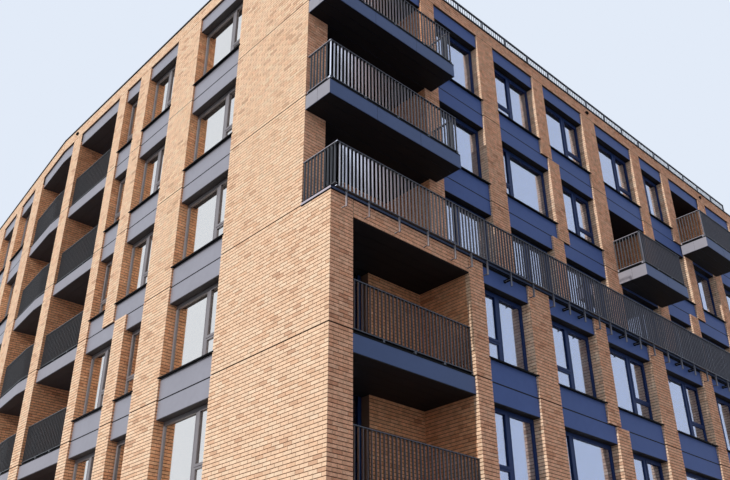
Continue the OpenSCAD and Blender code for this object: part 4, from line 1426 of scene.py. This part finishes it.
def joint_filler():
    made, tree, shader = material("joint_filler", 0.9, gloss=0.1)
    # Near-black: dark sealant, and also painted shade in the recessed joints.
    surface(tree, shader, mottled(tree, bpy.context.scene.block_bricks.filler, *CEMENT), CEMENT_GRAIN)
    return made


class BLOCK_OT_finishes(bpy.types.Operator):
    """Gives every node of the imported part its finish"""

    bl_idname = "block.finishes"
    bl_label = "Finishes"

    def execute(self, context):
        metal = context.scene.block_metal
        # Painted shade: the terrace coping's front takes half the balcony colour.
        dark_balcony = [v * 0.5 for v in metal.balcony]
        finish = {
            mortar_bed(): "left_corner_wall left_piers right_lower_piers right_upper_piers corner_lintel "
                          "loggia_side_walls loggia_back_walls street_parapets court_parapets court_piers",
            party_brickwork(): "party_walls",
            coated_metal("left_cladding"): "left_panels court_panels",
            coated_metal("right_cladding"): "right_lower_panels right_upper_panels",
            sun_and_shade_coating("edge_cladding", metal.balcony, metal.sunny): "loggia_edges balcony_slabs",
            coated_metal("sunny_window_coating"): "left_window_frames",
            coated_metal("window_coating"): "right_window_frames court_window_frames loggia_door_frames",
            rail_coating("rail_coating"): "terrace_railing balcony_front_railings balcony_front_bars roof_guard_rail",
            rail_coating("loggia_rail_coating", LOGGIA_SHEEN_SHADE): "loggia_railings",
            end_rail_coating("end_rail_coating", *BALCONY_BARS): "balcony_end_railings",
            end_rail_coating("terrace_end_rail_coating", *TERRACE_BARS): "terrace_end_railing",
            sun_and_shade_coating("terrace_coping_coating", dark_balcony, metal.coping_end): "terrace_coping",
            coated_metal("trim_coating"): "left_sills right_sills court_sills roof_spouts",
            coated_metal("coping_coating"): "roof_coping",
            coated_glass("coated_glass", metal.glass, metal.mirror): "right_window_glass court_window_glass "
                                                                     "loggia_door_glass",
            coated_glass("sunny_glass", metal.sunny_glass, metal.sunny_mirror): "left_window_glass",
            slab_finish(): "right_wing_floors left_wing_floors",
            joint_filler(): "movement_joints",
        }
        dressed = {"loggia_soffits"}
        for made, names in finish.items():
            for name in names.split():
                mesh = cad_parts[name].data
                mesh.materials.clear()
                mesh.materials.append(made)
                dressed.add(name)
        missed = set(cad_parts) - dressed
        if missed:
            raise RuntimeError(f"nodes without a finish: {sorted(missed)}")
        return {"FINISHED"}


# ---------------------------------------------------------------- stage

FLOOR_SIZE = 600
FLOOR_AT = (12, 12, -0.002)  # its middle, under the middle of the block
SUNLIGHT = (1.0, 0.96, 0.9)
SKYLIGHT = (0.94, 0.97, 1.0)
VIEW_FROM = (-9.346, -10.938, 2.526)
VIEW_TURN = (43.275, 28.796, -0.398)  # yaw, pitch and roll in degrees
FOCAL_LENGTH = 834.1 / 730  # in widths of the photograph
SENSOR = 36


class BLOCK_OT_stage(bpy.types.Operator):
    """Makes the plain floor, the light and the camera"""

    bl_idname = "block.stage"
    bl_label = "Stage"

    def execute(self, context):
        scene = context.scene
        scene.view_settings.view_transform = "Standard"
        self.floor(scene.block_stage)
        self.light(scene, scene.block_stage)
        self.camera(scene)
        return {"FINISHED"}

    def floor(self, stage):
        floor = sheet(FLOOR_AT, FLOOR_SIZE, FLOOR_SIZE)
        floor.name = "floor"
        made, tree, shader = material("pale_floor", 0.9)
        tint = choose(tree, self.seen(tree), stage.bounce, stage.ground, (-800, 0))
        surface(tree, shader, mottled(tree, tint, 0.01, 0.05, 0.5))
        floor.data.materials.append(made)

    def seen(self, tree):
        """1 where something is looked at, straight or in metal or glass, and 0 where it gives light."""
        path = add(tree, "ShaderNodeLightPath", (-1400, 200)).outputs
        mirrored = maths(tree, "MAXIMUM", (-1200, 200), path["Is Camera Ray"], path["Is Glossy Ray"])
        return maths(tree, "MAXIMUM", (-1000, 200), mirrored, path["Is Transmission Ray"])

    def light(self, scene, stage):
        key = bpy.data.lights.new("key", "SUN")
        key.energy = stage.sun
        key.angle = stage.spread
        key.color = SUNLIGHT
        lamp = bpy.data.objects.new("key", key)
        scene.collection.objects.link(lamp)
        flat = math.cos(stage.height)
        down = Vector((flat * math.cos(stage.swing), flat * math.sin(stage.swing), -math.sin(stage.height)))
        lamp.rotation_euler = down.to_track_quat("-Z", "Y").to_euler()
        world = bpy.data.worlds.new("studio")
        scene.world = world
        world.use_nodes = True
        tree = world.node_tree
        tree.nodes.clear()
        fill = add(tree, "ShaderNodeBackground", (-300, 0), Color=SKYLIGHT, Strength=stage.fill)
        back = add(tree, "ShaderNodeBackground", (-300, -150), Color=stage.backdrop, Strength=1.0)
        mix = add(tree, "ShaderNodeMixShader", (0, 0))
        for i, value in enumerate((self.seen(tree), fill.outputs[0], back.outputs[0])):
            tree.links.new(value, mix.inputs[i])
        add(tree, "ShaderNodeOutputWorld", (200, 0), Surface=mix.outputs[0])

    def camera(self, scene):
        """The photograph's viewing angle, from low in front of the street corner."""
        view = bpy.data.cameras.new("camera")
        camera = bpy.data.objects.new("camera", view)
        scene.collection.objects.link(camera)
        yaw, pitch, roll = (math.radians(a) for a in VIEW_TURN)
        ahead = Vector((math.sin(yaw) * math.cos(pitch), math.cos(yaw) * math.cos(pitch), math.sin(pitch)))
        right = Vector((math.cos(yaw), -math.sin(yaw), 0))
        up = right.cross(ahead)
        turned = right * math.cos(roll) + up * math.sin(roll)
        over = up * math.cos(roll) - right * math.sin(roll)
        place = Matrix((turned, over, -ahead)).transposed().to_4x4()
        place.translation = Vector(VIEW_FROM)
        camera.matrix_world = place
        view.sensor_width = SENSOR
        view.lens = FOCAL_LENGTH * SENSOR
        view.shift_y = 0.02
        view.clip_end = 1000
        scene.camera = camera


class BLOCK_PT_tools(bpy.types.Panel):
    """Lists the pieces of the block in the sidebar"""

    bl_idname = "BLOCK_PT_tools"
    bl_label = "Apartment Block"
    bl_space_type = "VIEW_3D"
    bl_region_type = "UI"
    bl_category = "Apartment Block"

    def draw(self, context):
        for made in OPERATORS:
            self.layout.operator(made.bl_idname)
        for group_name in ("block_bricks", "block_metal", "block_stage"):
            values = getattr(context.scene, group_name)
            box = self.layout.box()
            for key in values.__annotations__:
                box.prop(values, key)


GROUPS = (BlockBricks, BlockMetal, BlockStage)
OPERATORS = (
    BLOCK_OT_left_bricks, BLOCK_OT_left_reveals, BLOCK_OT_right_bricks, BLOCK_OT_loggia_bricks,
    BLOCK_OT_parapet_bricks, BLOCK_OT_court_bricks, BLOCK_OT_sashes, BLOCK_OT_door_sashes,
    BLOCK_OT_soffit_boards, BLOCK_OT_head_boards, BLOCK_OT_balcony_boards, BLOCK_OT_edge_trims,
    BLOCK_OT_seams_and_shadow_strips, BLOCK_OT_drips_and_shadows, BLOCK_OT_post_fixings, BLOCK_OT_finishes, BLOCK_OT_stage,
)


def register():
    for made in (*GROUPS, *OPERATORS, BLOCK_PT_tools):
        bpy.utils.register_class(made)
    bpy.types.Scene.block_bricks = PointerProperty(type=BlockBricks)
    bpy.types.Scene.block_metal = PointerProperty(type=BlockMetal)
    bpy.types.Scene.block_stage = PointerProperty(type=BlockStage)


def unregister():
    del bpy.types.Scene.block_stage
    del bpy.types.Scene.block_metal
    del bpy.types.Scene.block_bricks
    for made in (BLOCK_PT_tools, *reversed(OPERATORS), *reversed(GROUPS)):
        bpy.utils.unregister_class(made)


def main():
    register()
    for made in OPERATORS:
        family, name = made.bl_idname.split(".")
        getattr(getattr(bpy.ops, family), name)()
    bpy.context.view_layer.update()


if __name__ == "__main__":
    main()
